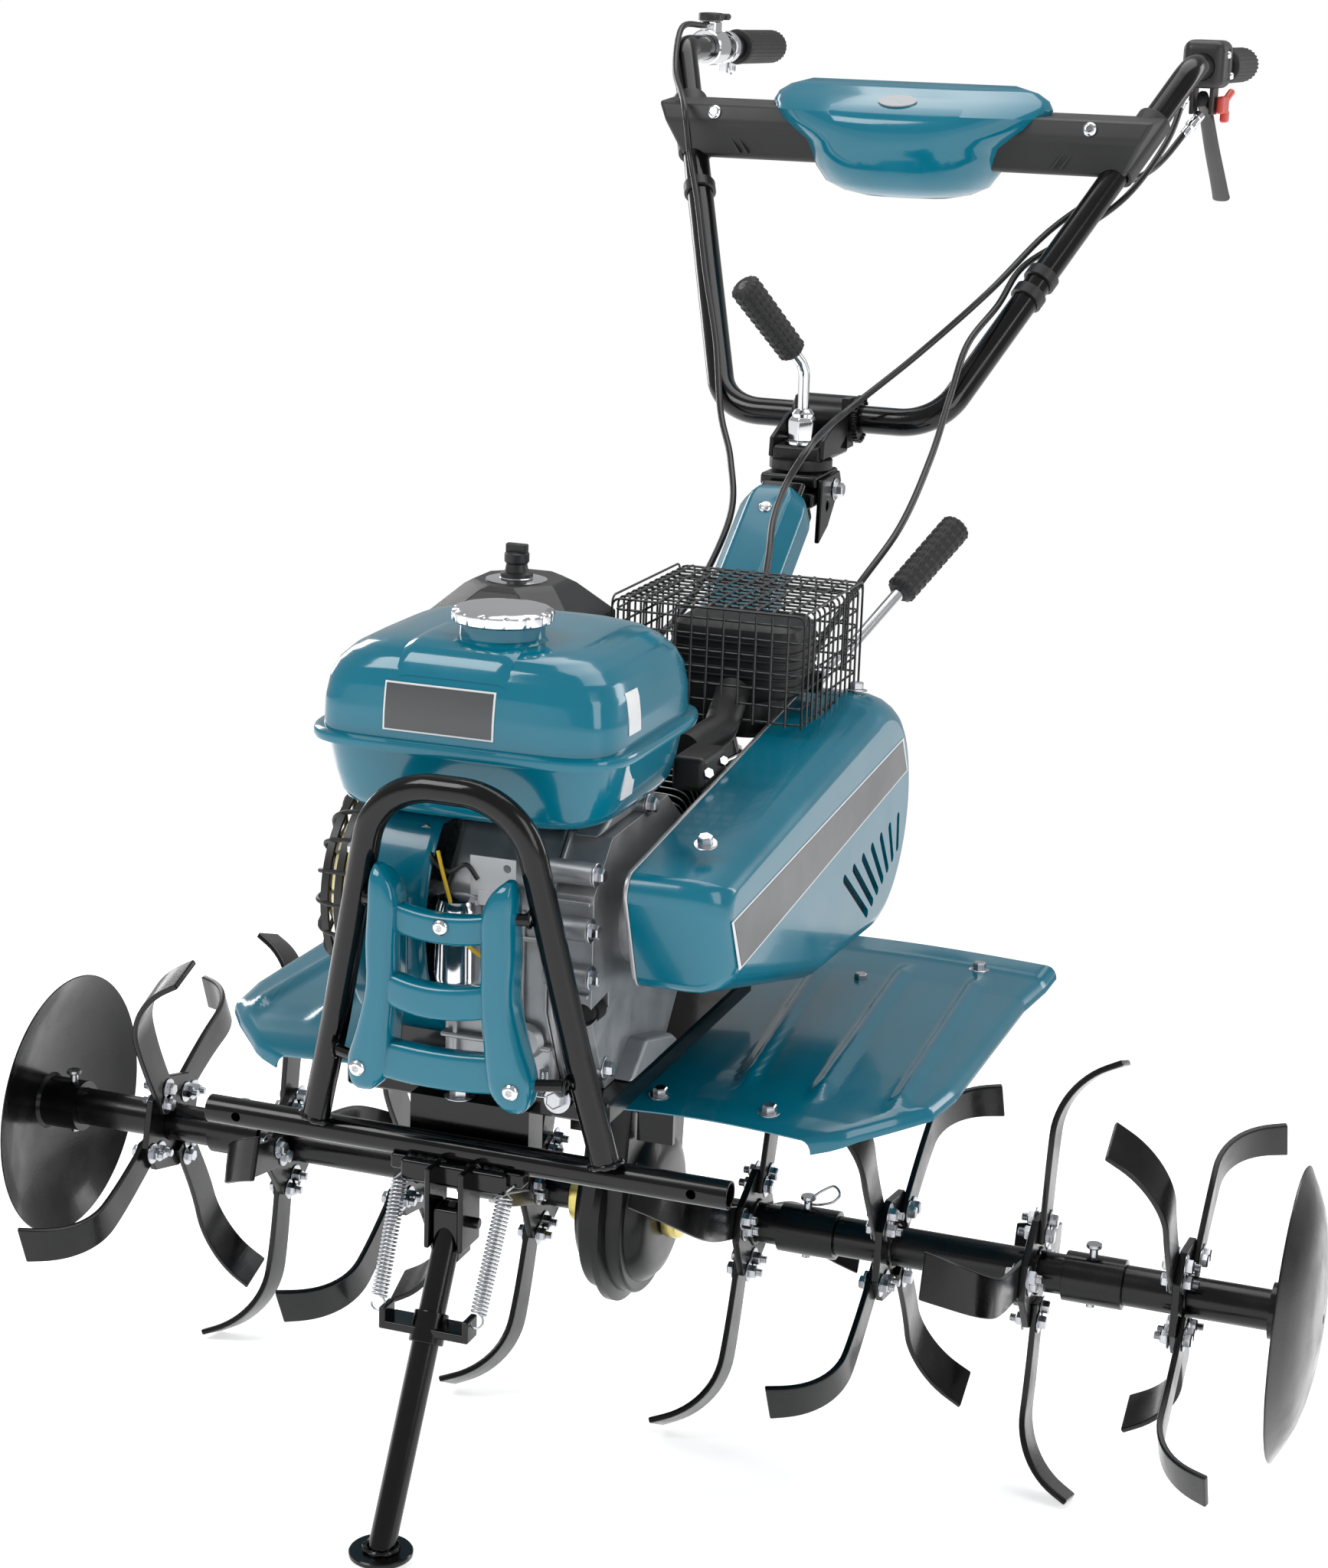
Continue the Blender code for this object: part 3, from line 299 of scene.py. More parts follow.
def surface(name, colour, roughness, metallic=0.0, coat=0.0, tint=0.08, blotch=16.0, spread=0.06,
        grain=700.0, bump=0.05, distance=0.0004, detail=3.0, gloss=0.5):
    """A material whose colour, roughness and relief vary as the real finish does."""
    made = bpy.data.materials.new(name)
    made.use_nodes = True
    nodes, links = made.node_tree.nodes, made.node_tree.links
    shader = nodes["Principled BSDF"]
    shader.inputs["Metallic"].default_value = metallic
    shader.inputs["Coat Weight"].default_value = coat
    shader.inputs["Coat Roughness"].default_value = 0.05
    shader.inputs["Specular IOR Level"].default_value = gloss
    place = nodes.new("ShaderNodeTexCoord")
    cloud = nodes.new("ShaderNodeTexNoise")
    cloud.inputs["Scale"].default_value = blotch
    cloud.inputs["Detail"].default_value = 5.0
    links.new(place.outputs["Object"], cloud.inputs["Vector"])
    ramp = nodes.new("ShaderNodeValToRGB")
    base = linear(*colour)
    ramp.color_ramp.elements[0].position = 0.3
    ramp.color_ramp.elements[1].position = 0.7
    ramp.color_ramp.elements[0].color = [c * (1 - tint) for c in base[:3]] + [1.0]
    ramp.color_ramp.elements[1].color = [min(1.0, c * (1 + tint)) for c in base[:3]] + [1.0]
    links.new(cloud.outputs["Fac"], ramp.inputs["Fac"])
    links.new(ramp.outputs["Color"], shader.inputs["Base Color"])
    rough = nodes.new("ShaderNodeMapRange")
    rough.inputs["From Min"].default_value = 0.3
    rough.inputs["From Max"].default_value = 0.7
    rough.inputs["To Min"].default_value = max(0.02, roughness - spread)
    rough.inputs["To Max"].default_value = roughness + spread
    links.new(cloud.outputs["Fac"], rough.inputs["Value"])
    links.new(rough.outputs["Result"], shader.inputs["Roughness"])
    fine = nodes.new("ShaderNodeTexNoise")
    fine.inputs["Scale"].default_value = grain
    fine.inputs["Detail"].default_value = detail
    links.new(place.outputs["Object"], fine.inputs["Vector"])
    relief = nodes.new("ShaderNodeBump")
    relief.inputs["Strength"].default_value = bump
    relief.inputs["Distance"].default_value = distance
    links.new(fine.outputs["Fac"], relief.inputs["Height"])
    links.new(relief.outputs["Normal"], shader.inputs["Normal"])
    return made


TEAL = surface("teal_enamel", (0, 100, 122), 0.2, coat=0.35, tint=0.05, grain=420, bump=0.06,
    gloss=0.35)
TANK_TEAL = surface("tank_enamel", (0, 103, 125), 0.16, coat=0.45, tint=0.04, grain=420,
    bump=0.05, gloss=0.35)
TEAL_PLASTIC = surface("teal_gloss_plastic", (0, 102, 124), 0.15, coat=0.4, tint=0.03,
    grain=300, bump=0.03, gloss=0.35)
BLACK = surface("black_gloss_paint", (6, 6, 7), 0.17, coat=0.12, tint=0.25, grain=520,
    bump=0.1, gloss=0.3)
BLADE_BLACK = surface("blade_black_paint", (8, 8, 9), 0.25, coat=0.1, tint=0.35, blotch=30,
    spread=0.1, grain=480, bump=0.16, gloss=0.3)
CASTING_BLACK = surface("black_casting_paint", (8, 8, 9), 0.32, coat=0.1, tint=0.25,
    grain=900, bump=0.35, gloss=0.3)
HEAT_BLACK = surface("heat_black_paint", (15, 15, 16), 0.48, tint=0.25, grain=900, bump=0.2)
WIRE_BLACK = surface("wire_black_paint", (30, 30, 31), 0.35, coat=0.2, tint=0.15, grain=900,
    bump=0.1)
ZINC = surface("zinc_plate", (190, 192, 196), 0.27, metallic=1.0, tint=0.1, blotch=90,
    spread=0.1, grain=1500, bump=0.08)
CHROME = surface("chrome_plate", (222, 223, 226), 0.13, metallic=1.0, tint=0.04, spread=0.03,
    grain=300, bump=0.02)
RIM_STEEL = surface("pressed_steel", (168, 170, 172), 0.38, metallic=0.85, tint=0.08,
    grain=900, bump=0.08)
CAST = surface("sand_cast_aluminium", (158, 160, 163), 0.42, metallic=0.75, tint=0.1,
    blotch=60, spread=0.08, grain=1300, bump=0.45, distance=0.0003, detail=6)
GOLD = surface("yellow_passivated_zinc", (212, 196, 118), 0.3, metallic=0.9, tint=0.18,
    blotch=55, spread=0.08, grain=900, bump=0.08)
PLASTIC = surface("black_moulded_plastic", (21, 21, 22), 0.42, tint=0.12, grain=1500,
    bump=0.35, distance=0.0002)
CONSOLE_PLASTIC = surface("console_moulded_plastic", (27, 27, 28), 0.46, tint=0.1,
    grain=1800, bump=0.4, distance=0.0002)
RUBBER = surface("black_moulded_rubber", (17, 17, 18), 0.58, tint=0.15, grain=1600,
    bump=0.3, distance=0.0002)
SHEATH = surface("cable_sheath", (14, 14, 15), 0.34, tint=0.15, grain=1200, bump=0.1)
RED = surface("red_moulded_plastic", (196, 62, 52), 0.32, coat=0.2, tint=0.06, grain=900,
    bump=0.1)
LABEL_DARK = surface("label_dark_film", (62, 64, 67), 0.34, coat=0.3, tint=0.05, grain=600,
    bump=0.03)
LABEL_LIGHT = surface("label_light_film", (214, 216, 218), 0.34, coat=0.3, tint=0.03,
    grain=600, bump=0.03)
BADGE_GREY = surface("badge_grey_film", (128, 132, 136), 0.3, coat=0.3, tint=0.05,
    grain=600, bump=0.03)
# near-black for the real gasket line, also used as painted shade inside the vent slots and the drain hole
GASKET_AND_PAINTED_SHADE = surface("gasket_black_and_painted_shade", (8, 8, 8), 0.7, tint=0.1, grain=900, bump=0.05)
YELLOW_WIRE = surface("yellow_wire_sleeve", (216, 178, 30), 0.4, tint=0.06, grain=900,
    bump=0.05)


# ---- pieces ---------------------------------------------------------------------------------
def make(name, mesh, paint, body, *stands_for, sharp=35):
    """A piece in the level frame, finished with a material; a named body carries it, otherwise it is baked
    in place.
    """
    mesh.transform(LEVEL)
    mesh.materials.clear()
    mesh.materials.append(paint)
    mesh.shade_smooth()
    mesh.set_sharp_from_angle(angle=math.radians(sharp))
    item = bpy.data.objects.new(name, mesh)
    bpy.context.scene.collection.objects.link(item)
    even = item.modifiers.new("even_shading", 'WEIGHTED_NORMAL')
    even.keep_sharp = True
    if isinstance(body, str):
        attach(item, body)
    else:
        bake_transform(item)
    if stands_for:
        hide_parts(*stands_for)
    return item


def repaint(paint, *nodes):
    """A CAD node whose shape is right keeps it and takes a finished material."""
    for name in nodes:
        for index in range(len(frame["nodes"][name].material_slots)):
            frame["nodes"][name].material_slots[index].material = paint


def hex_bolt(at, axis, across=0.01, height=0.005, washer=True, thread=0.0):
    """A hexagon head on its flange washer, with any thread standing proud of it."""
    low = 0.0012 if washer else 0.0
    hexagon = [(across * 0.55, low), (across * 0.577, low + 0.0005), (across * 0.577, low + height - 0.001),
        (across * 0.48, low + height)]
    parts = [turned((0, 0, 0), Z_AXIS, hexagon, 6)]
    if washer:
        disc = [(across * 0.86, 0.0), (across * 0.9, 0.0004), (across * 0.9, 0.0009),
            (across * 0.84, 0.0013)]
        parts.append(turned((0, 0, 0), Z_AXIS, disc, 28))
    if thread:
        turns = max(2, int(thread / 0.001))
        shape = []
        for i in range(turns):
            shape += [(across * 0.29, low + height + i * 0.001),
                (across * 0.33, low + height + (i + 0.5) * 0.001)]
        shape.append((across * 0.24, low + height + turns * 0.001))
        parts.append(turned((0, 0, 0), Z_AXIS, shape, 16))
    return moved(joined(*parts), aimed(at, axis))


def dome_screw(at, axis, radius=0.0055):
    """A round-headed screw with a hexagon socket."""
    head = [(radius, 0.0), (radius, 0.0006), (radius * 0.92, 0.0018), (radius * 0.7, 0.0028),
        (radius * 0.48, 0.0032)]
    socket = [(radius * 0.48, 0.0032), (radius * 0.44, 0.003), (radius * 0.42, 0.0012)]
    parts = [turned((0, 0, 0), Z_AXIS, head, 28), turned((0, 0, 0), Z_AXIS, socket, 6)]
    return moved(joined(*parts), aimed(at, axis))


def weld(points, radius, closed=False):
    """A rippled weld bead."""
    radii = [radius * (1.0 + 0.22 * math.sin(2.1 * i) + 0.1 * math.sin(5.3 * i))
        for i in range(len(points))]
    return sweep(points, radii, 10, closed)


def ring_points(centre, axis, radius, count=28):
    return circle(Vector(centre), Vector(axis).normalized(), radius, count)


def nubbed(start, end, radius, around, along, height, taper=1.0, gap=0.34):
    """A rubber grip covered in raised blocks, its ends rounded over."""
    start, end = Vector(start), Vector(end)
    axis = (end - start).normalized()
    length = (end - start).length
    first, second = side_axes(axis)
    per_block = 4
    rings = []
    rows = along * per_block
    for row in range(rows + 1):
        share = row / rows
        end_round = min(1.0, 8.0 * min(share, 1.0 - share) + 0.72)
        base = (radius - height) * (1 + (taper - 1) * share) * end_round
        raised_row = (row % per_block) / per_block > gap - 0.01
        ring = []
        for spot in range(around * per_block):
            raised = raised_row and (spot % per_block) / per_block > gap - 0.01
            reach = base + (height if raised else 0.0)
            a = 2 * math.pi * spot / (around * per_block)
            ring.append(start + axis * (length * share) + first * (reach * math.cos(a))
                + second * (reach * math.sin(a)))
        rings.append(ring)
    return loft(rings)


def coil(start, end, radius, wire, turns, per_turn=12):
    """A close-wound extension spring with a hook at each end."""
    start, end = Vector(start), Vector(end)
    axis = (end - start).normalized()
    first, second = side_axes(axis)
    length = (end - start).length
    hook = radius * 1.9
    points = []
    for i in range(9):
        a = math.pi * 1.5 * i / 8 - math.pi * 0.5
        points.append(start + axis * (hook * 0.5 - hook * 0.5 * math.cos(a - math.pi * 0.5))
            + first * (hook * 0.5 * math.sin(a)))
    span = length - 2 * hook
    for i in range(turns * per_turn + 1):
        a = 2 * math.pi * i / per_turn
        points.append(start + axis * (hook + span * i / (turns * per_turn)) + first * (radius * math.cos(a))
            + second * (radius * math.sin(a)))
    for i in range(9):
        a = math.pi * 1.5 * i / 8
        points.append(end - axis * (hook * 0.5 + hook * 0.5 * math.cos(a))
            + first * (hook * 0.5 * math.sin(a)))
    return sweep(points, wire, 8)


# ---- camera, floor and light ----------------------------------------------------------------
IMAGE_HEIGHT = 2048
FOCAL = 3861.4
SENSOR = 36.0
CAMERA_PLACE = Vector((0.76568, -2.13793, 0.96097))
CAMERA_FORWARD = Vector((-0.3193, 0.9123, -0.2566))
CAMERA_RIGHT = Vector((0.9405, 0.3383, 0.0326))
LENS_SHIFT = (-10.8, -1.4)
FLOOR_REACH = 40.0
FLOOR_GLOW = 0.62
AMBIENT_STRENGTH = 0.42
LAMPS = (("key", (-1.6, -2.6, 2.9), (1.6, 1.6), 58), ("fill", (2.9, -1.5, 1.7), (1.2, 2.2), 30),
    ("top", (0.2, 0.3, 3.2), (2.4, 1.8), 36), ("rim_left", (-2.6, 1.9, 1.8), (0.8, 2.0), 26),
    ("rim_right", (2.4, 2.2, 2.0), (0.8, 2.0), 22))


def build_studio():
    """The camera, a bright floor and backdrop, and soft area lights."""
    scene = bpy.context.scene
    forward = CAMERA_FORWARD.normalized()
    right = (CAMERA_RIGHT - forward * CAMERA_RIGHT.dot(forward)).normalized()
    turn = Matrix((right, right.cross(forward), -forward)).transposed().to_4x4()
    lens = bpy.data.cameras.new("camera")
    lens.sensor_fit = 'AUTO'
    lens.sensor_width = SENSOR
    lens.lens = FOCAL / IMAGE_HEIGHT * SENSOR
    lens.shift_x = LENS_SHIFT[0] / IMAGE_HEIGHT
    lens.shift_y = LENS_SHIFT[1] / IMAGE_HEIGHT
    lens.clip_end = 50
    camera = bpy.data.objects.new("camera", lens)
    camera.matrix_world = LEVEL @ (Matrix.Translation(CAMERA_PLACE) @ turn)
    scene.collection.objects.link(camera)
    scene.camera = camera
    scene.view_settings.view_transform = 'Standard'
    scene.view_settings.look = 'None'

    floor_paint = bpy.data.materials.new("studio_floor")
    floor_paint.use_nodes = True
    shader = floor_paint.node_tree.nodes["Principled BSDF"]
    shader.inputs["Base Color"].default_value = (0.93, 0.93, 0.93, 1.0)
    shader.inputs["Roughness"].default_value = 0.65
    shader.inputs["Specular IOR Level"].default_value = 0.15
    shader.inputs["Emission Color"].default_value = (1.0, 1.0, 1.0, 1.0)
    shader.inputs["Emission Strength"].default_value = FLOOR_GLOW
    mesh = block(-FLOOR_REACH, FLOOR_REACH, -FLOOR_REACH, FLOOR_REACH, -0.02, 0.0)
    mesh.materials.append(floor_paint)
    floor = bpy.data.objects.new("studio_floor", mesh)
    scene.collection.objects.link(floor)

    world = bpy.data.worlds.new("studio")
    world.use_nodes = True
    nodes, links = world.node_tree.nodes, world.node_tree.links
    ambient = nodes["Background"]
    ambient.inputs["Color"].default_value = (1.0, 1.0, 1.0, 1.0)
    ambient.inputs["Strength"].default_value = AMBIENT_STRENGTH
    backdrop = nodes.new("ShaderNodeBackground")
    backdrop.inputs["Color"].default_value = (1.0, 1.0, 1.0, 1.0)
    backdrop.inputs["Strength"].default_value = 1.0
    seen = nodes.new("ShaderNodeLightPath")
    choice = nodes.new("ShaderNodeMixShader")
    links.new(seen.outputs["Is Camera Ray"], choice.inputs["Fac"])
    links.new(ambient.outputs["Background"], choice.inputs[1])
    links.new(backdrop.outputs["Background"], choice.inputs[2])
    links.new(choice.outputs["Shader"], nodes["World Output"].inputs["Surface"])
    scene.world = world

    target = LEVEL @ Vector((0.0, -0.1, 0.35))
    for name, spot, size, power in LAMPS:
        light = bpy.data.lights.new(name, 'AREA')
        light.shape = 'RECTANGLE'
        light.size, light.size_y = size
        light.energy = power
        lamp = bpy.data.objects.new(name, light)
        lamp.location = spot
        lamp.rotation_euler = (target - Vector(spot)).to_track_quat('-Z', 'Y').to_euler()
        scene.collection.objects.link(lamp)


# ---- front bar, hoop, guard and stand -------------------------------------------------------
def bar_across(half, height, half_height, depth, half_depth, bow, rise):
    """A rounded bar from side to side that bows forward and sags in the middle."""
    rings = []
    for i in range(25):
        x = -half + 2 * half * i / 24
        swell = 1 - (x / half) ** 2
        outline = superellipse((depth - bow * swell, height - rise * swell), half_depth, half_height, 3.6,
            28)
        rings.append([(x, y, z) for y, z in outline])
    return loft(rings)


def build_front():
    left = BAR - X_AXIS * 0.197
    tube = turned(left, X_AXIS, [(0.01, 0.0), (0.01, 0.394), (0.008, 0.394), (0.008, 0.0)], 40, closed=True)
    holes = [rod((side * 0.172, BAR.y - 0.02, BAR.z), (side * 0.172, BAR.y + 0.02, BAR.z), 0.0035, 20)
        for side in (-1, 1)]
    tube = changed(tube, cut=holes, edge=0.0006, segments=2, angle=50)
    cheeks = [changed(block(side * 0.0105, side * 0.0145, -0.399, -0.367, 0.117, 0.176), edge=0.0015)
        for side in (-1, 1)]
    bridge = changed(block(-0.04, 0.04, -0.384, -0.369, 0.158, 0.174), edge=0.003)
    hangers = [changed(block(side * 0.03, side * 0.05, -0.378, -0.364, 0.163, 0.174), edge=0.002)
        for side in (-1, 1)]
    beads = [weld([Vector((x, -0.376, 0.1735 + 0.001 * math.sin(x * 900)))
        for x in [start + 0.002 * i for i in range(15)]], 0.0026) for start in (-0.036, 0.008)]
    beads += [weld([Vector((side * 0.0125, -0.377 + 0.0012 * i, 0.171 - 0.0014 * i)) for i in range(10)],
        0.0022) for side in (-1, 1)]
    make("front_bar_tube", joined(tube, bridge, *cheeks, *hangers, *beads), BLACK, "chassis", "front_bar")

    def hoop_point(x, z):
        return Vector((x, -0.374 - 0.1 * (z - 0.186), z))

    half = [(-0.109, 0.1918), (-0.09, 0.27), (-0.052, 0.448)]
    corners = [hoop_point(x, z) for x, z in half] + [hoop_point(-x, z) for x, z in reversed(half)]
    path = rounded_path(corners, (0.1, 0.052, 0.052, 0.1), 12)
    foot_beads = [weld(ring_points((side * 0.1095, -0.3735, 0.1905), (side * 0.23, -0.1, -1), 0.0108),
        0.002, True) for side in (-1, 1)]
    pin_beads = [weld(ring_points((side * x, y, z), X_AXIS, 0.0055, 18), 0.0014, True) for side in (-1, 1)
        for x, y, z in ((0.06, -0.3975, 0.366), (0.086, -0.3905, 0.25))]
    make("bumper_hoop_tube", joined(sweep(path, 0.01, 36), *foot_beads, *pin_beads), BLACK, "chassis",
        "bumper_hoop")

    stations = [(0.2325, 0.049, 0.062, -0.4115, -0.394), (0.2365, 0.044, 0.0655, -0.415, -0.39),
        (0.245, 0.038, 0.0675, -0.4175, -0.388), (0.257, 0.035, 0.067, -0.419, -0.387),
        (0.279, 0.0335, 0.06, -0.42, -0.386), (0.309, 0.0305, 0.0535, -0.42, -0.386),
        (0.339, 0.0305, 0.054, -0.42, -0.386), (0.364, 0.03, 0.053, -0.419, -0.387),
        (0.378, 0.033, 0.053, -0.417, -0.389), (0.387, 0.039, 0.052, -0.414, -0.3925),
        (0.3925, 0.0455, 0.0505, -0.408, -0.4)]
    columns = [smooth_path([Vector((z, values[index], 0)) for z, *values in stations], 3)
        for index in range(4)]
    rings = []
    for inner, outer, front, back in zip(*columns):
        middle = ((inner.y + outer.y) / 2, (front.y + back.y) / 2)
        outline = superellipse(middle, (outer.y - inner.y) / 2, (back.y - front.y) / 2, 3.2, 32)
        rings.append([(x, y, inner.x) for x, y in outline])
    upright = loft(rings)
    top = bar_across(0.036, 0.3585, 0.0105, -0.405, 0.0075, 0.0015, 0.0045)
    middle = bar_across(0.038, 0.309, 0.012, -0.4085, 0.0085, 0.007, 0.0035)
    low = bar_across(0.042, 0.257, 0.014, -0.406, 0.008, 0.002, 0.002)
    pins = []
    for side in (-1, 1):
        pins.append(rod((side * 0.046, -0.404, 0.366), (side * 0.06, -0.4, 0.366), 0.0042, 24, 0.0008))
        pins.append(rod((side * 0.056, -0.404, 0.25), (side * 0.0835, -0.392, 0.25), 0.0042, 24, 0.0008))
    make("front_guard_moulding", joined(upright, mirrored(upright), top, middle, low), TEAL_PLASTIC,
        "chassis", "front_guard")
    make("front_guard_pins", joined(*pins), BLACK, "chassis")
    screws = [dome_screw((0.002, -0.4142, 0.357), -Y_AXIS, 0.0058)]
    screws += [dome_screw((side * 0.0565, -0.4185, 0.25), -Y_AXIS, 0.0058) for side in (-1, 1)]
    make("front_guard_screws", joined(*screws), CHROME, "chassis")


def build_stand():
    down = (FOOT - STAND_PIVOT).normalized()
    collar_at = STAND_PIVOT + down * 0.075
    leg = rod(STAND_PIVOT - down * 0.012, FOOT + Z_AXIS * 0.002, 0.0095, 36, 0.001)
    pivot_block = changed(block(-0.01, 0.01, -0.395, -0.371, 0.108, 0.146), edge=0.002)
    pin = rod(STAND_PIVOT - X_AXIS * 0.021, STAND_PIVOT + X_AXIS * 0.021, 0.004, 24, 0.0008)
    plate = turned(FOOT, Z_AXIS, [(0.0212, 0.0), (0.022, 0.0008), (0.022, 0.0032), (0.0212, 0.004)], 56)
    bead = weld(ring_points(FOOT + Z_AXIS * 0.0045 - down * 0.001, Z_AXIS, 0.0112), 0.002, True)
    collar = changed(block(-0.031, 0.031, collar_at.y - 0.011, collar_at.y + 0.011, collar_at.z - 0.003,
        collar_at.z + 0.003), edge=0.0012)
    sleeve = rod(collar_at - down * 0.01, collar_at + down * 0.012, 0.0122, 32, 0.001)
    lugs = [changed(block(side * 0.0285, side * 0.0335, collar_at.y - 0.011, collar_at.y + 0.006,
        collar_at.z - 0.003, collar_at.z + 0.013), edge=0.0012) for side in (-1, 1)]
    make("stand_leg_tube", joined(leg, pivot_block, pin, plate, bead, collar, sleeve, *lugs), BLACK,
        "stand", "stand_leg")
    for name, side in (("left", -1), ("right", 1)):
        top = Vector((side * 0.04, BAR.y - 0.013, BAR.z - 0.014))
        bottom = Vector((side * 0.037, collar_at.y - 0.006, collar_at.z + 0.008))
        make(f"stand_coil_{name}", coil(top, bottom, 0.0052, 0.00085, 30), ZINC,
            ("chassis", "stand", top - Z_AXIS * 0.004, bottom + Z_AXIS * 0.004), f"stand_spring_{name}",
            sharp=60)


# ---- engine ---------------------------------------------------------------------------------
def build_crankcase():
    floor = 0.2225
    case = [(-0.335, floor), (-0.165, floor), (-0.16, 0.33), (-0.18, 0.398), (-0.31, 0.402), (-0.34, 0.36)]
    shaft_hole = rod((-0.2, CRANK.y, CRANK.z), (0.2, CRANK.y, CRANK.z), 0.0125, 32)
    body = changed(prism_x(case, -0.03, 0.055), cut=[shaft_hole], edge=0.007)
    ribs = [changed(block(x, x + 0.0035, -0.3415, -0.3, 0.235, 0.352), edge=0.001) for x in (-0.02, 0.03)]
    ledges = [changed(block(-0.029, 0.054, -0.3425, -0.32, z, z + 0.004), edge=0.0015)
        for z in (0.252, 0.33)]
    filler = turned((0.036, -0.325, 0.258), -Y_AXIS, [(0.013, 0.0), (0.013, 0.016), (0.01, 0.02)], 32)
    make("crankcase_casting", joined(body, filler, *ribs, *ledges), CAST, "chassis", "crankcase")

    cover = [(-0.318, floor), (-0.19, floor), (-0.158, 0.262), (-0.158, 0.375), (-0.205, 0.408),
        (-0.315, 0.404), (-0.348, 0.37), (-0.348, 0.285)]
    cover_hole = rod((0.0, CRANK.y, CRANK.z), (0.2, CRANK.y, CRANK.z), 0.0125, 32)
    drain = rod((0.079, -0.375, 0.282), (0.079, -0.315, 0.288), 0.0088, 32)
    shell = changed(prism_x(cover, 0.0565, 0.086), cut=[cover_hole, drain], edge=0.006)
    flange = [(y + (-0.0035 if y < -0.25 else 0.003), z + (0.003 if z > 0.3 else 0.0)) for y, z in cover]
    seam = changed(prism_x(flange, 0.052, 0.0585), cut=[cover_hole.copy()], edge=0.0018)
    gasket = prism_x([(y + (-0.004 if y < -0.25 else 0.0034), z + (0.0034 if z > 0.3 else 0.0)) for y,
        z in cover], 0.0548, 0.0556)
    boss = changed(turned((0.083, CRANK.y, CRANK.z), X_AXIS, [(0.034, 0.0), (0.034, 0.01), (0.029, 0.022)],
        40), cut=[cover_hole.copy()], edge=0.002)
    lugs, bolts = [], []
    for y, z in ((-0.346, 0.386), (-0.3535, 0.3485), (-0.3505, 0.314), (-0.318, 0.238), (-0.245, 0.411),
            (-0.156, 0.372), (-0.156, 0.27)):
        lugs.append(changed(turned((0.053, y, z), X_AXIS, [(0.0085, 0.0), (0.008, 0.033)], 28),
            edge=0.0012))
        bolts.append(hex_bolt((0.086, y, z), X_AXIS, 0.0095, 0.0055))
    webs = [changed(block(0.06, 0.0845, -0.352, -0.33, z - 0.0015, z + 0.0015), edge=0.0008)
        for z in (0.3, 0.366)]
    slope = changed(prism_x([(-0.325, 0.405), (-0.262, 0.436), (-0.205, 0.408)], 0.058, 0.08), edge=0.004)
    foot = changed(prism_x([(-0.3, 0.2225), (-0.2, 0.2225), (-0.215, 0.232), (-0.27, 0.246)], 0.084, 0.1),
        edge=0.003)
    make("crankcase_cover_casting", joined(shell, seam, boss, slope, foot, *lugs, *webs), CAST, "chassis",
        "crankcase_cover")
    make("crankcase_gasket", gasket, GASKET_AND_PAINTED_SHADE, "chassis")
    # a near-black lining and plug set deep in the drain hole: painted shade for the hole's inside
    plug = turned((0.079, -0.337, 0.2845), -Y_AXIS, [(0.007, 0.0), (0.007, 0.004), (0.0045, 0.005)], 24)
    make("drain_hole_painted_shade", joined(plug, rod((0.079, -0.322, 0.283), (0.079, -0.336, 0.283), 0.0087, 32)),
        GASKET_AND_PAINTED_SHADE, "chassis")
    bolts.append(hex_bolt((0.063, -0.348, 0.2215), (0, -1, 0.2), 0.011, 0.007))
    bolts.append(hex_bolt((0.05, -0.34, 0.2215), Z_AXIS, 0.012, 0.008, thread=0.008))
    bolts.append(hex_bolt((-0.01, -0.35, 0.2125), Z_AXIS, 0.012, 0.009, thread=0.01))
    bolts.append(hex_bolt((-0.085, -0.32, 0.2085), Z_AXIS, 0.012, 0.008, thread=0.006))
    bolts.append(hex_bolt((0.085, -0.06, 0.2085), Z_AXIS, 0.012, 0.008, thread=0.006))
    bolts.append(hex_bolt((-0.041, -0.338, 0.399), (0, -1, 0.3), 0.009, 0.005))
    make("engine_bolts", joined(*bolts), ZINC, "chassis")

    plate = changed(sheet([[(x, -0.347 + 0.002 * t, 0.389 - 0.029 * t) for x in (-0.006, 0.01, 0.028)]
        for t in (0.0, 0.5, 1.0)], 0.0015),
        cut=[rod((0.0215, -0.36, 0.382), (0.0215, -0.33, 0.382), 0.003, 20)], edge=0.0004)
    ear = changed(block(0.0, 0.01, -0.3475, -0.3455, 0.354, 0.364), edge=0.0006)
    make("stop_bracket", joined(plate, ear), LABEL_LIGHT, "chassis")
    can = turned((-0.013, -0.3505, 0.3), Z_AXIS,
        [(0.0155, 0.0), (0.016, 0.003), (0.016, 0.052), (0.014, 0.058), (0.006, 0.06)], 40)
    make("oil_sensor_can", can, CHROME, "chassis")
    wire = smooth_path([(-0.028, -0.352, 0.39), (-0.02, -0.358, 0.372), (-0.004, -0.368, 0.34),
        (0.01, -0.372, 0.328), (0.022, -0.366, 0.322), (0.034, -0.35, 0.318)], 6)
    make("ignition_wire", sweep(wire, 0.0014, 12), YELLOW_WIRE, "chassis")
    lead = smooth_path([(-0.04, -0.345, 0.396), (-0.03, -0.354, 0.383), (-0.018, -0.353, 0.377),
        (-0.008, -0.349, 0.382), (0.0, -0.347, 0.372)], 6)
    make("ignition_lead", sweep(lead, 0.0017, 12), SHEATH, "chassis")


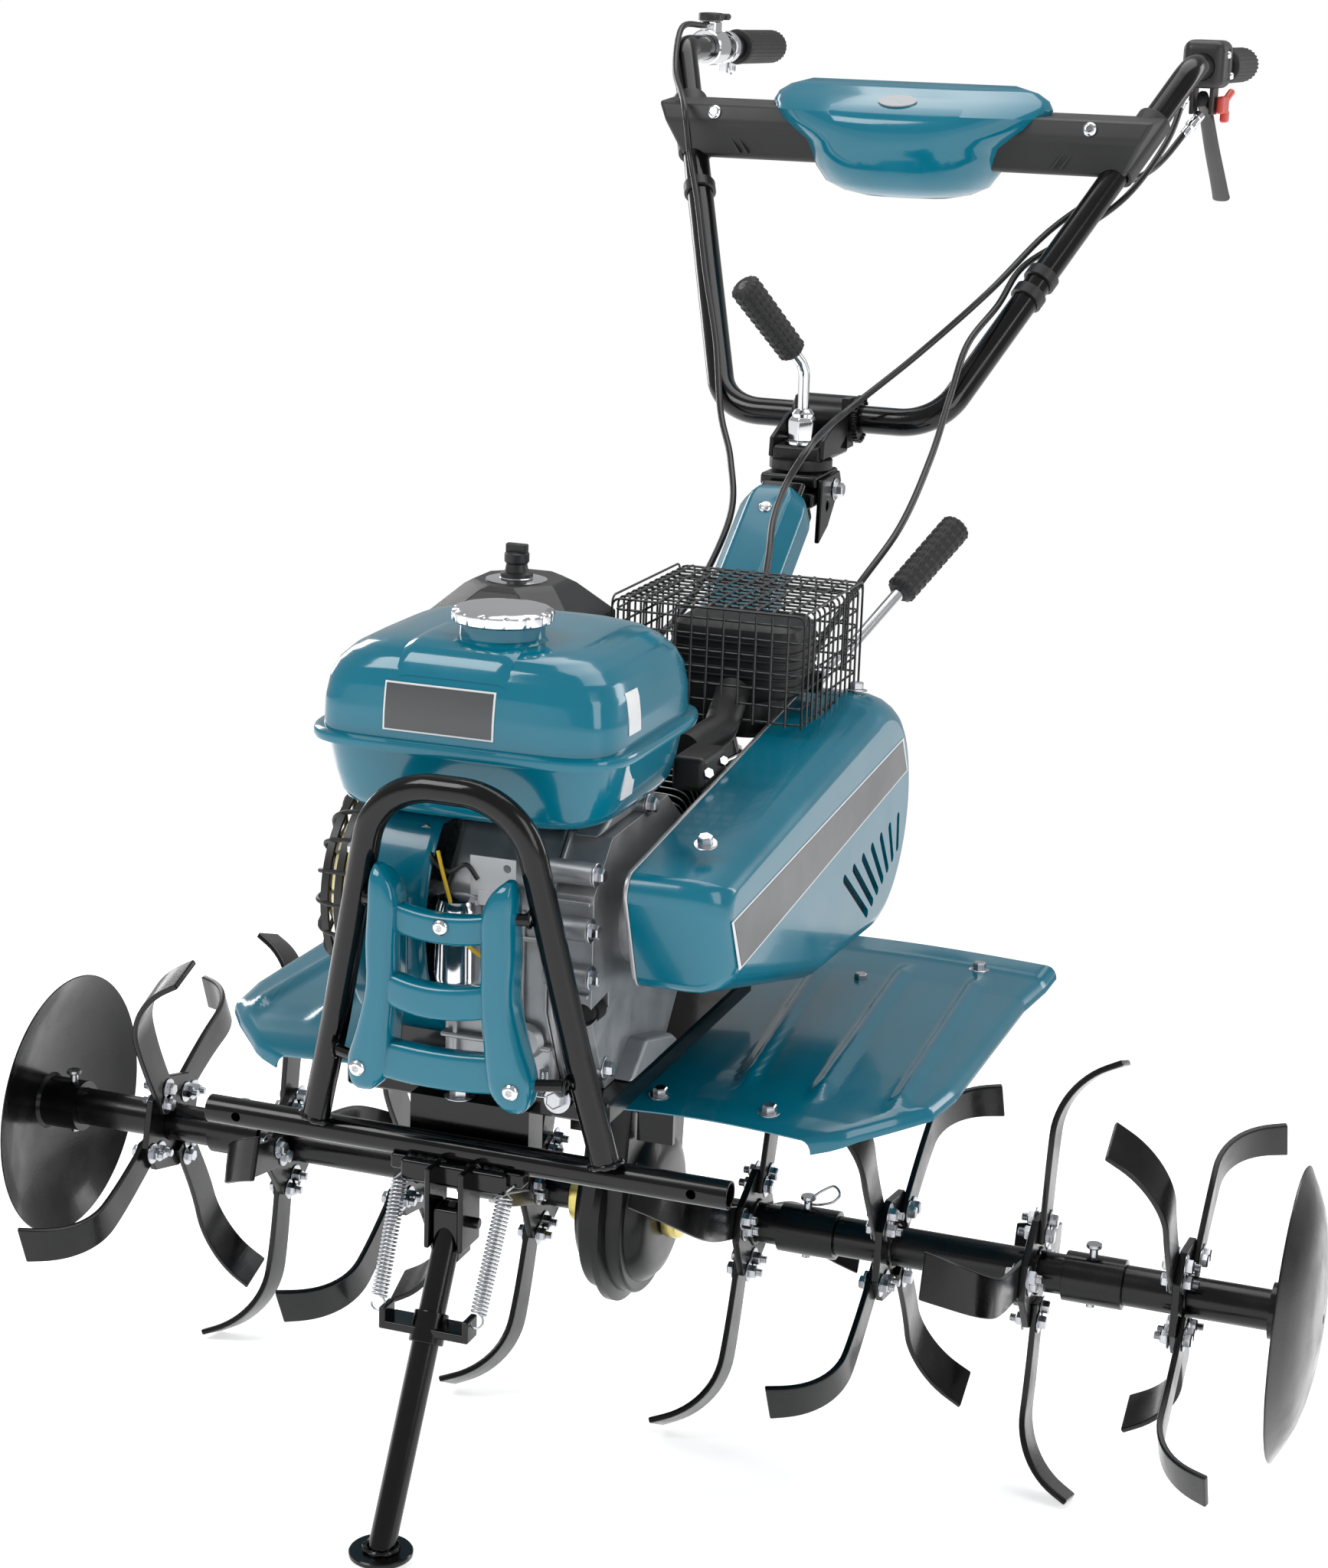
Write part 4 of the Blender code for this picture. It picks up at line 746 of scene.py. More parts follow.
def build_cylinder():
    tilt = Matrix.Translation((0.03, -0.141, 0.336)) @ Matrix.Rotation(math.radians(25), 4, 'X')
    barrel = changed(block(-0.036, 0.036, 0.0, 0.07, -0.036, 0.036), edge=0.006)
    head = changed(block(-0.044, 0.044, 0.064, 0.104, -0.042, 0.042), edge=0.004)
    lid = changed(block(-0.034, 0.034, 0.103, 0.122, -0.036, 0.034), edge=0.006)
    fins, rims = [], []
    for i in range(14):
        low = 0.004 + 0.0072 * i
        grow = 0.0 if i < 8 else 0.004
        outline = superellipse((0.0, 0.0), 0.0465 + grow, 0.046 + grow * 0.5, 7.0, 48)
        fins.append(loft([[(x, y, z) for x, z in outline] for y in (low, low + 0.002)]))
        edge_line = superellipse((0.0, 0.0), 0.0469 + grow, 0.0464 + grow * 0.5, 7.0, 48)
        rims.append(loft([[(x, y, z) for x, z in edge_line] for y in (low + 0.0005, low + 0.0015)]))
    make("cylinder_casting", moved(joined(barrel, head, lid, *fins), tilt), HEAT_BLACK, "chassis",
        "cylinder_block")
    make("cylinder_fin_edges", moved(joined(*rims), tilt), CAST, "chassis")
    bolts = [hex_bolt((x, 0.1045, z), Y_AXIS, 0.01, 0.007) for x in (-0.04, 0.04) for z in (-0.038, 0.038)]
    bolts += [hex_bolt((x, 0.1225, z), Y_AXIS, 0.008, 0.004) for x in (-0.026, 0.026)
        for z in (-0.026, 0.026)]
    nuts = [hex_bolt((0.104, -0.172, 0.418), (0.6, -0.6, 0.4), 0.008, 0.004, washer=False),
        hex_bolt((0.1045, -0.14, 0.42), (0.6, -0.6, 0.4), 0.007, 0.004, washer=False)]
    make("cylinder_bolts", joined(moved(joined(*bolts), tilt), *nuts), ZINC, "chassis")
    bracket = changed(block(0.078, 0.104, -0.178, -0.128, 0.404, 0.43), edge=0.005)
    elbow = sweep(rounded_path([(0.07, -0.12, 0.42), (0.082, -0.08, 0.428), (0.08, -0.045, 0.452)], (0.02,
        )), 0.013, 28)
    make("exhaust_elbow", joined(bracket, elbow), HEAT_BLACK, "chassis")


def build_shroud():
    outline = arc((CRANK.y, CRANK.z), 0.103, 134, 290, 40) + [(-0.17, 0.242), (-0.145, 0.3), (-0.152, 0.41)]
    hollow = arc((CRANK.y, CRANK.z), 0.099, 136, 288, 40) + [(-0.174, 0.25), (-0.15, 0.302),
        (-0.156, 0.405)]
    eye = rod((-0.12, CRANK.y, CRANK.z), (-0.06, CRANK.y, CRANK.z), 0.07, 64)
    shell = changed(changed(prism_x(outline, -0.0945, -0.0305), edge=0.006),
        cut=[prism_x(hollow, -0.0915, -0.02), eye])
    make("fan_shroud_pressing", shell, TEAL, "chassis", "fan_shroud")
    bolts = [hex_bolt((-0.095, CRANK.y + 0.088 * math.cos(a), CRANK.z + 0.088 * math.sin(a)), -X_AXIS,
        0.008, 0.004) for a in (math.radians(150), math.radians(240), math.radians(60))]
    make("fan_shroud_bolts", joined(*bolts), ZINC, "chassis")

    base_x = -0.0948
    hoops = [turned((base_x, CRANK.y, CRANK.z), -X_AXIS, [(r, a), (r + 0.003, a), (r + 0.003, a + 0.0055),
        (r, a + 0.0055)], 64, closed=True) for r, a in ((0.0745, 0.0), (0.0735, 0.012), (0.07, 0.024))]
    face = turned((base_x, CRANK.y, CRANK.z), -X_AXIS, [(0.03, 0.035), (0.042, 0.035), (0.042, 0.0395),
        (0.03, 0.041)], 64, closed=True)
    hub = turned((base_x, CRANK.y, CRANK.z), -X_AXIS, [(0.02, 0.03), (0.02, 0.04), (0.006, 0.0405)], 48)
    ribs = []
    count = 20
    for i in range(count):
        a = 2 * math.pi * i / count
        out = Vector((0, math.cos(a), math.sin(a)))
        centre = Vector((base_x, CRANK.y, CRANK.z))
        knots = [(0.0762, 0.001), (0.0755, 0.015), (0.0715, 0.0285), (0.062, 0.0365), (0.04, 0.0385)]
        if i % 5 == 0:
            knots.append((0.015, 0.0385))
        path = smooth_path([centre + out * r - X_AXIS * along for r, along in knots], 3)
        ribs.append(sweep(path, 0.0018, 8))
    make("recoil_grille", joined(*hoops, face, hub, *ribs), PLASTIC, "chassis", "recoil_starter")
    drum = turned((base_x, CRANK.y, CRANK.z), -X_AXIS,
        [(0.064, 0.0), (0.064, 0.022), (0.056, 0.029), (0.05, 0.03), (0.048, 0.027), (0.01, 0.027)], 64)
    make("recoil_drum", drum, GOLD, "chassis")

    grip_at = Vector((-0.118, -0.176, 0.35))
    pull = Vector((-0.45, 0.89, 0.0)).normalized()
    heart = grip_at + pull * 0.02
    bar = sweep(smooth_path([heart - Z_AXIS * 0.03 - pull * 0.002, heart - Z_AXIS * 0.018 + pull * 0.0005,
        heart, heart + Z_AXIS * 0.018 + pull * 0.0005, heart + Z_AXIS * 0.03 - pull * 0.002], 6),
        [0.0062] + [0.0084] * 23 + [0.0062], 28)
    stem = turned(grip_at, pull, [(0.006, 0.0), (0.0066, 0.004), (0.0056, 0.01), (0.0075, 0.016)], 24)
    make("starter_handle", joined(bar, stem), RUBBER, "pull_grip", "starter_grip")
    socket = turned(grip_at - pull * 0.012, pull, [(0.011, 0.0), (0.011, 0.008), (0.0085, 0.0115)], 28)
    make("starter_socket", socket, PLASTIC, "chassis")


TANK_SEAM = 0.4706
TANK_TOP = 0.5353


def tank_outline(height):
    """Half sizes and corner power of the fuel tank at a height."""
    knots = [(0.4706, 0.11, 0.1, 6.0), (0.49, 0.1095, 0.099, 6.0), (0.506, 0.1075, 0.0965, 5.5),
        (0.516, 0.103, 0.0935, 5.0), (0.524, 0.095, 0.089, 4.6), (0.53, 0.084, 0.082, 4.4),
        (0.5335, 0.07, 0.072, 4.0), (0.535, 0.05, 0.055, 3.5), (0.5353, 0.001, 0.001, 2.0)]
    for low, high in zip(knots, knots[1:]):
        if height <= high[0]:
            t = max(0.0, (height - low[0]) / (high[0] - low[0]))
            return [a + (b - a) * t for a, b in zip(low[1:], high[1:])]
    return list(knots[-1][1:])


def tank_front(x, height, proud):
    """The point of the tank's front face at x and a height."""
    half_x, half_y, power = tank_outline(height)
    share = min(0.999, abs((x - TANK.x) / half_x))
    return (x, TANK.y - half_y * (1 - share ** power) ** (1 / power) - proud, height)


def tank_side(y, height, proud):
    """The point of the tank's belt-side face at y and a height."""
    half_x, half_y, power = tank_outline(height)
    share = min(0.999, abs((y - TANK.y) / half_y))
    return (TANK.x + half_x * (1 - share ** power) ** (1 / power) + proud, y, height)


def tank_top(x, y):
    """The height of the tank's top at a point, found by halving."""
    low, high = TANK_SEAM, TANK_TOP
    for _ in range(24):
        middle = (low + high) / 2
        half_x, half_y, power = tank_outline(middle)
        if (abs(x - TANK.x) / half_x) ** power + (abs(y - TANK.y) / half_y) ** power < 1:
            low = middle
        else:
            high = middle
    return low


def build_tank():
    heights = [TANK_SEAM + (TANK_TOP - TANK_SEAM) * (1 - (1 - i / 36) ** 1.5) for i in range(37)]
    shell = []
    for z in heights:
        half_x, half_y, power = tank_outline(z)
        shell.append([(x, y, z) for x, y in superellipse(TANK, half_x, half_y, power, 112)])
    upper = loft(shell)
    tub = [(0.415, 0.084, 0.076), (0.4153, 0.089, 0.081), (0.417, 0.0945, 0.086), (0.42, 0.0985, 0.0895),
        (0.426, 0.102, 0.0925), (0.44, 0.1055, 0.0955), (0.46, 0.109, 0.099), (0.4632, 0.1105, 0.1005)]
    lower = loft([[(x, y, z) for x, y in superellipse(TANK, hx, hy, 5.0, 112)] for z, hx, hy in tub])
    brim = [(0.4628, 0.1155, 0.1045), (0.4634, 0.1175, 0.1065), (0.465, 0.118, 0.107),
        (0.468, 0.118, 0.107), (0.4697, 0.1173, 0.1063), (0.4706, 0.115, 0.104), (0.4716, 0.1105, 0.1003)]
    flange = loft([[(x, y, z) for x, y in superellipse(TANK, hx, hy, 5.2, 112)] for z, hx, hy in brim])
    panel = []
    for i in range(25):
        x = -0.054 + 0.081 * i / 24
        side = min(1.0, (1 - abs(2 * i / 24 - 1)) * 8)
        row = []
        for j in range(25):
            y = -0.3655 + 0.08 * j / 24
            end = min(1.0, (1 - abs(2 * j / 24 - 1)) * 8)
            row.append((x, y, tank_top(x, y) + 0.0014 - 0.0026 * (1 - side) - 0.0026 * (1 - end)))
        panel.append(row)
    neck = turned(CAP - Z_AXIS * 0.015, Z_AXIS, [(0.037, 0.0), (0.0325, 0.004), (0.0295, 0.0062),
        (0.029, 0.0145), (0.028, 0.015)], 72)
    make("fuel_tank_shell", joined(upper, lower, flange, sheet(panel, 0.0024), neck), TANK_TEAL, "chassis",
        "fuel_tank", sharp=28)

    def label(x0, x1, z0, z1, proud):
        rows = []
        for j in range(7):
            z = z0 + (z1 - z0) * j / 6
            rows.append([tank_front(x0 + (x1 - x0) * i / 16, z, proud) for i in range(17)])
        return sheet(rows, 0.0008)

    make("tank_label_border", label(-0.061, 0.02, 0.477, 0.51, 0.0004), LABEL_LIGHT, "chassis")
    make("tank_label_plate", label(-0.0596, 0.0186, 0.4782, 0.5088, 0.0009), LABEL_DARK, "chassis")
    stickers = []
    stickers.append(sheet([[tank_side(-0.326 + 0.0035 * i, 0.48 + 0.0058 * j, 0.0004) for i in range(7)]
        for j in range(6)], 0.0006))
    stickers.append(sheet([[(TANK.x + 0.1035 + 0.0035 * j / 5 + 0.0006, -0.324 + 0.0034 * i,
        0.434 + 0.005 * j) for i in range(7)] for j in range(6)], 0.0012))
    make("tank_stickers", joined(*stickers), LABEL_LIGHT, "chassis")

    lobes, points = 14, 168
    rings = []
    for z, radius, depth in ((0.5463, 0.031, 0.0), (0.5467, 0.0332, 0.6), (0.5478, 0.0342, 1.0),
            (0.5528, 0.0346, 1.0), (0.5546, 0.034, 0.9), (0.5557, 0.0322, 0.5), (0.5562, 0.03, 0.1),
            (0.5565, 0.028, 0.0), (0.5568, 0.0255, 0.0), (0.5571, 0.02, 0.0), (0.5572, 0.002, 0.0)):
        ring = []
        for i in range(points):
            angle = 2 * math.pi * i / points
            reach = radius + depth * (0.00182 * abs(math.cos(lobes * angle / 2)) ** 0.6 - 0.001)
            ring.append((CAP.x + reach * math.cos(angle), CAP.y + reach * math.sin(angle), z))
        rings.append(ring)
    make("fuel_cap_chrome", loft(rings), CHROME, "cap", "fuel_cap", sharp=40)


def build_intake():
    case = changed(block(-0.145, -0.022, -0.148, -0.028, 0.44, 0.478), edge=0.008)
    carburettor = changed(block(-0.08, -0.04, -0.12, -0.07, 0.37, 0.445), edge=0.004)
    bowl = turned((-0.06, -0.095, 0.35), Z_AXIS,
        [(0.012, 0.0), (0.017, 0.003), (0.017, 0.022), (0.019, 0.024), (0.019, 0.028)], 36)
    make("air_cleaner_base", case, PLASTIC, "chassis", "air_cleaner_case")
    make("carburettor", joined(carburettor, bowl), CAST, "chassis")

    def ring(inset_x, inset_y, z):
        x0, x1, y0, y1 = -0.141 + inset_x, -0.018 - inset_x, -0.153 + inset_y, -0.022 - inset_y
        cut = 0.022
        return [(x0 + cut, y0, z), (x1 - cut, y0, z), (x1, y0 + cut, z), (x1, y1 - cut, z),
            (x1 - cut, y1, z), (x0 + cut, y1, z), (x0, y1 - cut, z), (x0, y0 + cut, z)]

    rings = [ring(0.001, 0.001, 0.4783), ring(0, 0, 0.48), ring(0, 0, 0.504), ring(0.024, 0.022, 0.527),
        ring(0.03, 0.028, 0.5305)]
    cover = changed(loft(rings), edge=0.0035, angle=14)
    lip = changed(loft([ring(-0.002, -0.002, 0.4795), ring(-0.002, -0.002, 0.483)]), edge=0.0012)
    make("air_cleaner_lid", joined(cover, lip), PLASTIC, "chassis", "air_cleaner_cover")
    knob_at = Vector((-0.08, -0.095, 0.5308))
    washer = turned(knob_at, Z_AXIS, [(0.023, -0.001), (0.0235, 0.0004), (0.02, 0.0014), (0.013, 0.0016),
        (0.0115, 0.003)], 56)
    make("air_cleaner_washer", washer, CHROME, "chassis")
    stem = turned(knob_at, Z_AXIS, [(0.0125, 0.0022), (0.0125, 0.005), (0.009, 0.0065), (0.008, 0.012),
        (0.0095, 0.014), (0.0095, 0.02), (0.007, 0.0215)], 40)
    wing = changed(block(-0.0085, 0.0085, -0.003, 0.003, 0.012, 0.0275), edge=0.0012)
    make("air_cleaner_wing_knob", joined(stem, moved(wing, Matrix.Translation(knob_at))), PLASTIC, "knob",
        "air_cleaner_knob")


def build_exhaust():
    rings = []
    for z, hx, hy, x in ((0.41, 0.03, 0.028, 0.061), (0.4112, 0.036, 0.033, 0.061),
            (0.416, 0.0395, 0.0365, 0.061), (0.44, 0.041, 0.0375, 0.061), (0.444, 0.05, 0.0378, 0.071),
            (0.448, 0.052, 0.038, 0.072), (0.488, 0.052, 0.038, 0.072), (0.496, 0.05, 0.036, 0.072),
            (0.4995, 0.045, 0.031, 0.072), (0.5003, 0.038, 0.025, 0.072)):
        rings.append([(px, py, z) for px, py in superellipse((x, 0.002), hx, hy, 5.0, 72)])
    shell = loft(rings)
    ridges = []
    for i in range(6):
        z = 0.452 + 0.0066 * i
        outline = superellipse((0.072, 0.002), 0.0532, 0.0392, 5.0, 72)
        ridges.append(changed(loft([[(px, py, h) for px, py in outline] for h in (z, z + 0.0022)]),
            edge=0.0006))
    outlet = turned((0.118, 0.01, 0.452), X_AXIS,
        [(0.009, 0.0), (0.009, 0.014), (0.0072, 0.014), (0.0072, 0.002)], 36)
    make("muffler_can", joined(shell, outlet, *ridges), HEAT_BLACK, "chassis", "muffler")

    low, high = (-0.012, -0.068, 0.444), (0.142, 0.085, 0.52)
    wires = []
    wire = 0.00095

    def frame_wire(points, radius=0.006):
        return sweep(rounded_path(points, [radius] * (len(points) - 2), 3), wire, 8)

    columns = 13
    for i in range(columns):
        x = low[0] + (high[0] - low[0]) * i / (columns - 1)
        drop = low[2] - (0.012 if x > 0.03 else 0.0)
        wires.append(frame_wire([(x, low[1], drop), (x, low[1], high[2]), (x, high[1], high[2]),
            (x, high[1], low[2] + 0.002)]))
    rows = 13
    for j in range(rows):
        y = low[1] + (high[1] - low[1]) * j / (rows - 1)
        wires.append(frame_wire([(low[0], y, low[2]), (low[0], y, high[2] - 2 * wire),
            (high[0], y, high[2] - 2 * wire), (high[0], y, low[2] - 0.012)]))
    for k in range(7):
        z = 0.4345 + 0.0125 * k
        corners = [(low[0] + 0.03, low[1] + 2 * wire, z), (high[0] - 2 * wire, low[1] + 2 * wire, z),
            (high[0] - 2 * wire, high[1] - 2 * wire, z), (low[0] + 0.03, high[1] - 2 * wire, z)]
        if k == 0:
            corners = corners[:2] + [(high[0] - 2 * wire, high[1] - 0.02, z)]
        else:
            corners = [(low[0] + 2 * wire, 0.0, z),
                (low[0] + 2 * wire, low[1] + 2 * wire, z)] + corners[1:3]
            corners += [(low[0] + 2 * wire, high[1] - 2 * wire, z), (low[0] + 2 * wire, 0.0, z)]
        wires.append(frame_wire(corners, 0.005))
    make("muffler_cage", joined(*wires), WIRE_BLACK, "chassis", "muffler_guard", sharp=60)


# ---- belt drive -----------------------------------------------------------------------------
def cover_outline(inset, steps=40):
    """The belt cover in side view: a slanted blunt nose and a round tail."""
    corners = [(-0.23, 0.4235 - inset * 0.9, 0), (-0.352 + inset, 0.384 - inset * 0.6, 0),
        (-0.322 + inset, 0.303 + inset, 0), (-0.105, 0.247 + inset, 0)]
    nose = rounded_path(corners, (0.016, 0.016), 8)[1:-1]
    nose.append(Vector(corners[-1]))
    tail = arc((INPUT.y, INPUT.z), 0.099 - inset, -88, 104, steps)
    return [(point.x, point.y) for point in nose] + tail


def build_belt_drive():
    profile = [(0.11, 0.0), (0.144, 0.0), (0.155, 0.0008), (0.164, 0.0034), (0.171, 0.0078),
        (0.1752, 0.012), (0.1772, 0.016), (0.178, 0.02)]
    shell = loft([[(x, y, z) for y, z in cover_outline(inset)] for x, inset in profile])
    slots = []
    for i in range(7):
        t = i / 6
        top = Vector((0, -0.054 + 0.15 * t, 0.316 + 0.012 * t))
        low = Vector((0, 0.015 + 0.083 * t, 0.269 + 0.033 * t))
        slots.append((top, low))
    cuts, vent_shade_sheets = [], []
    for top, low in slots:
        run = (low - top).normalized()
        side = Vector((0, -run.z, run.y))
        wide = 0.0036
        outline = []
        for end, direction in ((low, 1), (top, -1)):
            for k in range(9):
                a = math.pi * k / 8 - math.pi / 2
                point = end + run * (direction * wide * math.cos(
                    a)) + side * (direction * wide * math.sin(a))
                outline.append((point.y, point.z))
        cuts.append(prism_x(outline, 0.1735, 0.19))
        # a thin near-black sheet on the floor of each slot: painted shade for the dark inside of the vent
        vent_shade_sheets.append(prism_x(outline, 0.1728, 0.1738))
    shell = changed(shell, cut=cuts)
    make("belt_cover_pressing", shell, TEAL, "chassis", "belt_cover", sharp=24)
    # the slot floors in near-black: painted shade
    make("belt_cover_vent_painted_shade", joined(*vent_shade_sheets), GASKET_AND_PAINTED_SHADE, "chassis")

    corners = [Vector((0, -0.328, 0.36)), Vector((0, 0.098, 0.393)), Vector((0, 0.116, 0.362)),
        Vector((0, -0.308, 0.32))]
    def strip(inset, proud):
        middle = sum(corners, Vector()) / 4
        rows = []
        for j in range(2):
            left = corners[3].lerp(corners[0], j)
            right = corners[2].lerp(corners[1], j)
            row = []
            for i in range(20):
                point = left.lerp(right, i / 19)
                point = middle + (point - middle) * (1 - inset * 0.3)
                point.z += -inset * 0.02 if j else inset * 0.02
                row.append((COVER_FACE + proud, point.y, point.z))
            rows.append(row)
        return sheet(rows, 0.0006)

    make("belt_cover_strip_border", strip(0.0, 0.0003), LABEL_LIGHT, "chassis")
    make("belt_cover_strip", strip(0.06, 0.0007), LABEL_DARK, "chassis")

    rim = changed(loft([[(x, y, z) for y, z in cover_outline(-0.0008)] for x in (0.1062, 0.1097)]),
        edge=0.0012)
    crank_eye = rod((0.09, CRANK.y, CRANK.z), (0.12, CRANK.y, CRANK.z), 0.033, 48)
    input_eye = rod((0.09, INPUT.y, INPUT.z), (0.12, INPUT.y, INPUT.z), 0.015, 36)
    make("belt_backplate_pressing", changed(rim, cut=[crank_eye, input_eye]), RIM_STEEL, "chassis",
        "belt_backplate")
    bolts = [hex_bolt((0.148, -0.3, 0.4035), (0, -0.3, 0.95), 0.0095, 0.006),
        hex_bolt((0.148, 0.06, 0.4365), (0, 0.1, 0.99), 0.0095, 0.006)]
    make("belt_cover_bolts", joined(*bolts), ZINC, "chassis")
    repaint(ZINC, "crankshaft", "gearbox_pulley", "belt_tensioner")
    repaint(RUBBER, "drive_belt")


# ---- transmission, fenders and rotor --------------------------------------------------------
def build_transmission():
    rear = Vector((0.0, 0.05, 0.335))
    lean = math.degrees(math.atan2(rear.z, rear.y))
    spread = math.degrees(math.acos((0.074 - 0.056) / math.hypot(rear.y, rear.z)))

    def strap(grow):
        outline = arc((0, 0), 0.074 + grow, lean + spread, lean + 360 - spread, 40)
        return outline + arc((rear.y, rear.z), 0.056 + grow, lean - spread, lean + spread, 28)

    body = changed(prism_x(strap(0.0), -0.0255, 0.0115), edge=0.003)
    seam = changed(prism_x(strap(0.0035), -0.0085, -0.0055), edge=0.0012)
    domes = turned((0, 0, 0), X_AXIS, [(0.028, -0.0382), (0.046, -0.0377), (0.056, -0.0345),
        (0.063, -0.028), (0.067, -0.0195), (0.071, -0.014), (0.0775, -0.0112), (0.083, -0.01),
        (0.083, -0.004), (0.0775, -0.0022), (0.071, 0.0002), (0.067, 0.006), (0.063, 0.0155),
        (0.056, 0.022), (0.046, 0.0255), (0.028, 0.0262)], 72)
    hole = rod((-0.007, 0.108, 0.09), (-0.007, 0.108, 0.19), 0.0085, 32)
    hitch = changed(block(-0.0255, 0.0115, 0.06, 0.13, 0.11, 0.17), cut=[hole], edge=0.002)
    make("gearbox_casting", joined(body, seam, domes, hitch), CASTING_BLACK, "chassis", "gearbox_housing")
    bolts = []
    for z in (0.1, 0.17, 0.24, 0.3):
        for y in (-0.05, 0.072):
            bolts.append(hex_bolt((0.0117, y + 0.15 * z * 0.9, z), X_AXIS, 0.008, 0.004))
    make("gearbox_bolts", joined(*bolts), ZINC, "chassis")

    along = (COLUMN_HEAD - COLUMN_FOOT).normalized()
    normal = Vector((0, -along.z, along.y))
    length = (COLUMN_HEAD - COLUMN_FOOT).length

    def column_block(half_x, low, high, start, end):
        corners = [(-half_x, low), (half_x, low), (half_x, high), (-half_x, high)]
        return loft([[COLUMN_FOOT + X_AXIS * x + normal * n + along * s for x, n in corners]
            for s in (start, end)])

    post = changed(column_block(0.02, -0.022, 0.022, 0.004, length), edge=0.0035)
    base_plate = changed(column_block(0.032, -0.034, 0.034, 0.004, 0.011), edge=0.0015)
    head = changed(block(-0.026, 0.026, 0.322, 0.398, 0.532, 0.545), edge=0.003)
    head_top = changed(block(-0.026, 0.026, 0.33, 0.398, 0.548, SWIVEL.z - 0.0006), edge=0.003)
    spigot = turned((0, SWIVEL.y, 0.54), Z_AXIS, [(0.021, 0.0), (0.021, 0.0194)], 48)
    side_lug = changed(prism_x([(0.33, 0.5), (0.356, 0.512), (0.392, 0.548), (0.386, 0.558),
        (0.334, 0.556)], 0.0265, 0.031), cut=[rod((0.02, 0.352, 0.531), (0.04, 0.352, 0.531), 0.005, 20)],
        edge=0.0012)
    beads = [weld([COLUMN_FOOT + X_AXIS * (side * 0.0205) + normal * (-0.022 + 0.0022 * i) + along * 0.0125
        for i in range(21)], 0.0024) for side in (-1, 1)]
    beads.append(weld([Vector((-0.022 + 0.0022 * i, 0.3255, 0.533)) for i in range(21)], 0.0024))
    make("handle_column_tube", joined(post, base_plate, head, head_top, spigot, side_lug, *beads), BLACK,
        "chassis", "handle_column")
    column_bolts = [hex_bolt(COLUMN_FOOT + X_AXIS * x + normal * n + along * 0.0112, along, 0.01, 0.006)
        for x in (-0.026, 0.026) for n in (-0.028, 0.028)]
    column_bolts.append(hex_bolt((0.0312, 0.372, 0.543), X_AXIS, 0.011, 0.007))
    make("column_bolts", joined(*column_bolts), ZINC, "chassis")

    section = []
    for point in rounded_path([(-0.029, 0.0, 0), (-0.029, 0.024, 0), (-0.017, 0.038, 0), (0.017, 0.038, 0),
            (0.029, 0.024, 0), (0.029, 0.0, 0)], (0.006, 0.006, 0.006, 0.006), 5):
        section.append((point.x, point.y))
    rows = []
    for step in range(25):
        s = 0.07 + 0.192 * step / 24
        closing = max(0.0, (s - 0.245) / 0.017)
        shrink = 1.0 - 0.2 * closing ** 2
        rows.append([COLUMN_FOOT + X_AXIS * (x * shrink) + normal * (n * (1.0 - 0.1 * closing ** 2))
            + along * s for x, n in section])
    make("column_cover_pressing", changed(sheet(rows, 0.0018), edge=0.0004, segments=2), TEAL, "chassis",
        "column_cover", sharp=50)
    screw_at = COLUMN_FOOT + normal * 0.0388 + along * 0.232
    make("column_cover_screw", dome_screw(screw_at, normal, 0.0062), CHROME, "chassis")


def build_fenders():
    """Pressed sheets over the tines, their fronts turned down and three ridges across each."""
    stations = [(-0.233, 0.173, 0.213), (-0.231, 0.175, 0.222), (-0.224, 0.1785, 0.234),
        (-0.215, 0.1812, 0.243), (-0.19, 0.1845, 0.266), (-0.165, 0.186, 0.284), (-0.12, 0.1865, 0.29),
        (0.1, 0.1865, 0.29), (0.15, 0.188, 0.296), (0.172, 0.194, 0.3)]

    def edge_at(y):
        for low, high in zip(stations, stations[1:]):
            if y <= high[0]:
                t = max(0.0, (y - low[0]) / (high[0] - low[0]))
                return [a + (b - a) * t for a, b in zip(low[1:], high[1:])]
        return list(stations[-1][1:])

    inner = 0.046
    ridges = ((0.128, -0.1), (0.192, -0.06), (0.252, -0.05))
    for name, side in (("left", -1), ("right", 1)):
        rows = []
        for j in range(91):
            y = -0.233 + 0.405 * j / 90
            height, reach = edge_at(y)
            lip = reach - 0.008
            row = []
            for i in range(73):
                t = i / 72
                if t < 0.94:
                    x = inner + (lip - inner) * t / 0.94
                    z = height + 0.0035 * math.sin(math.pi * t / 0.94)
                    for ridge, slant in ridges:
                        gap = abs(x - ridge - slant * y) / 0.0095
                        fade = min(1.0, max(0.0, (0.165 - abs(y + 0.03)) / 0.03))
                        if gap < 1.0:
                            z += 0.0055 * fade * (0.5 + 0.5 * math.cos(math.pi * gap))
                else:
                    turn = (t - 0.94) / 0.06
                    x = lip + 0.008 * math.sin(turn * math.pi / 2)
                    z = height - 0.01 * (1 - math.cos(turn * math.pi / 2))
                row.append((side * x, y, z))
            rows.append(row)
        make(f"fender_{name}_pressing", sheet(rows, 0.0018), TEAL, "chassis", f"fender_{name}", sharp=60)
    bolts = []
    for side in (-1, 1):
        for x, y in ((0.092, -0.216), (0.176, -0.216), (0.157, 0.084), (0.066, -0.12), (0.066, 0.11),
                (0.24, 0.15)):
            height = edge_at(y)[0] + 0.0022
            bolts.append(hex_bolt((side * x, y, height), (0, -0.12 if y < -0.2 else 0, 1), 0.0095, 0.0055))
    make("fender_bolts", joined(*bolts), ZINC, "chassis")
    rails = [changed(block(0.052 if side > 0 else -0.08, 0.08 if side > 0 else -0.052, -0.21, 0.15, 0.1755,
        0.18), edge=0.0012) for side in (-1, 1)]
    make("fender_rails", joined(*rails), BLACK, "chassis")


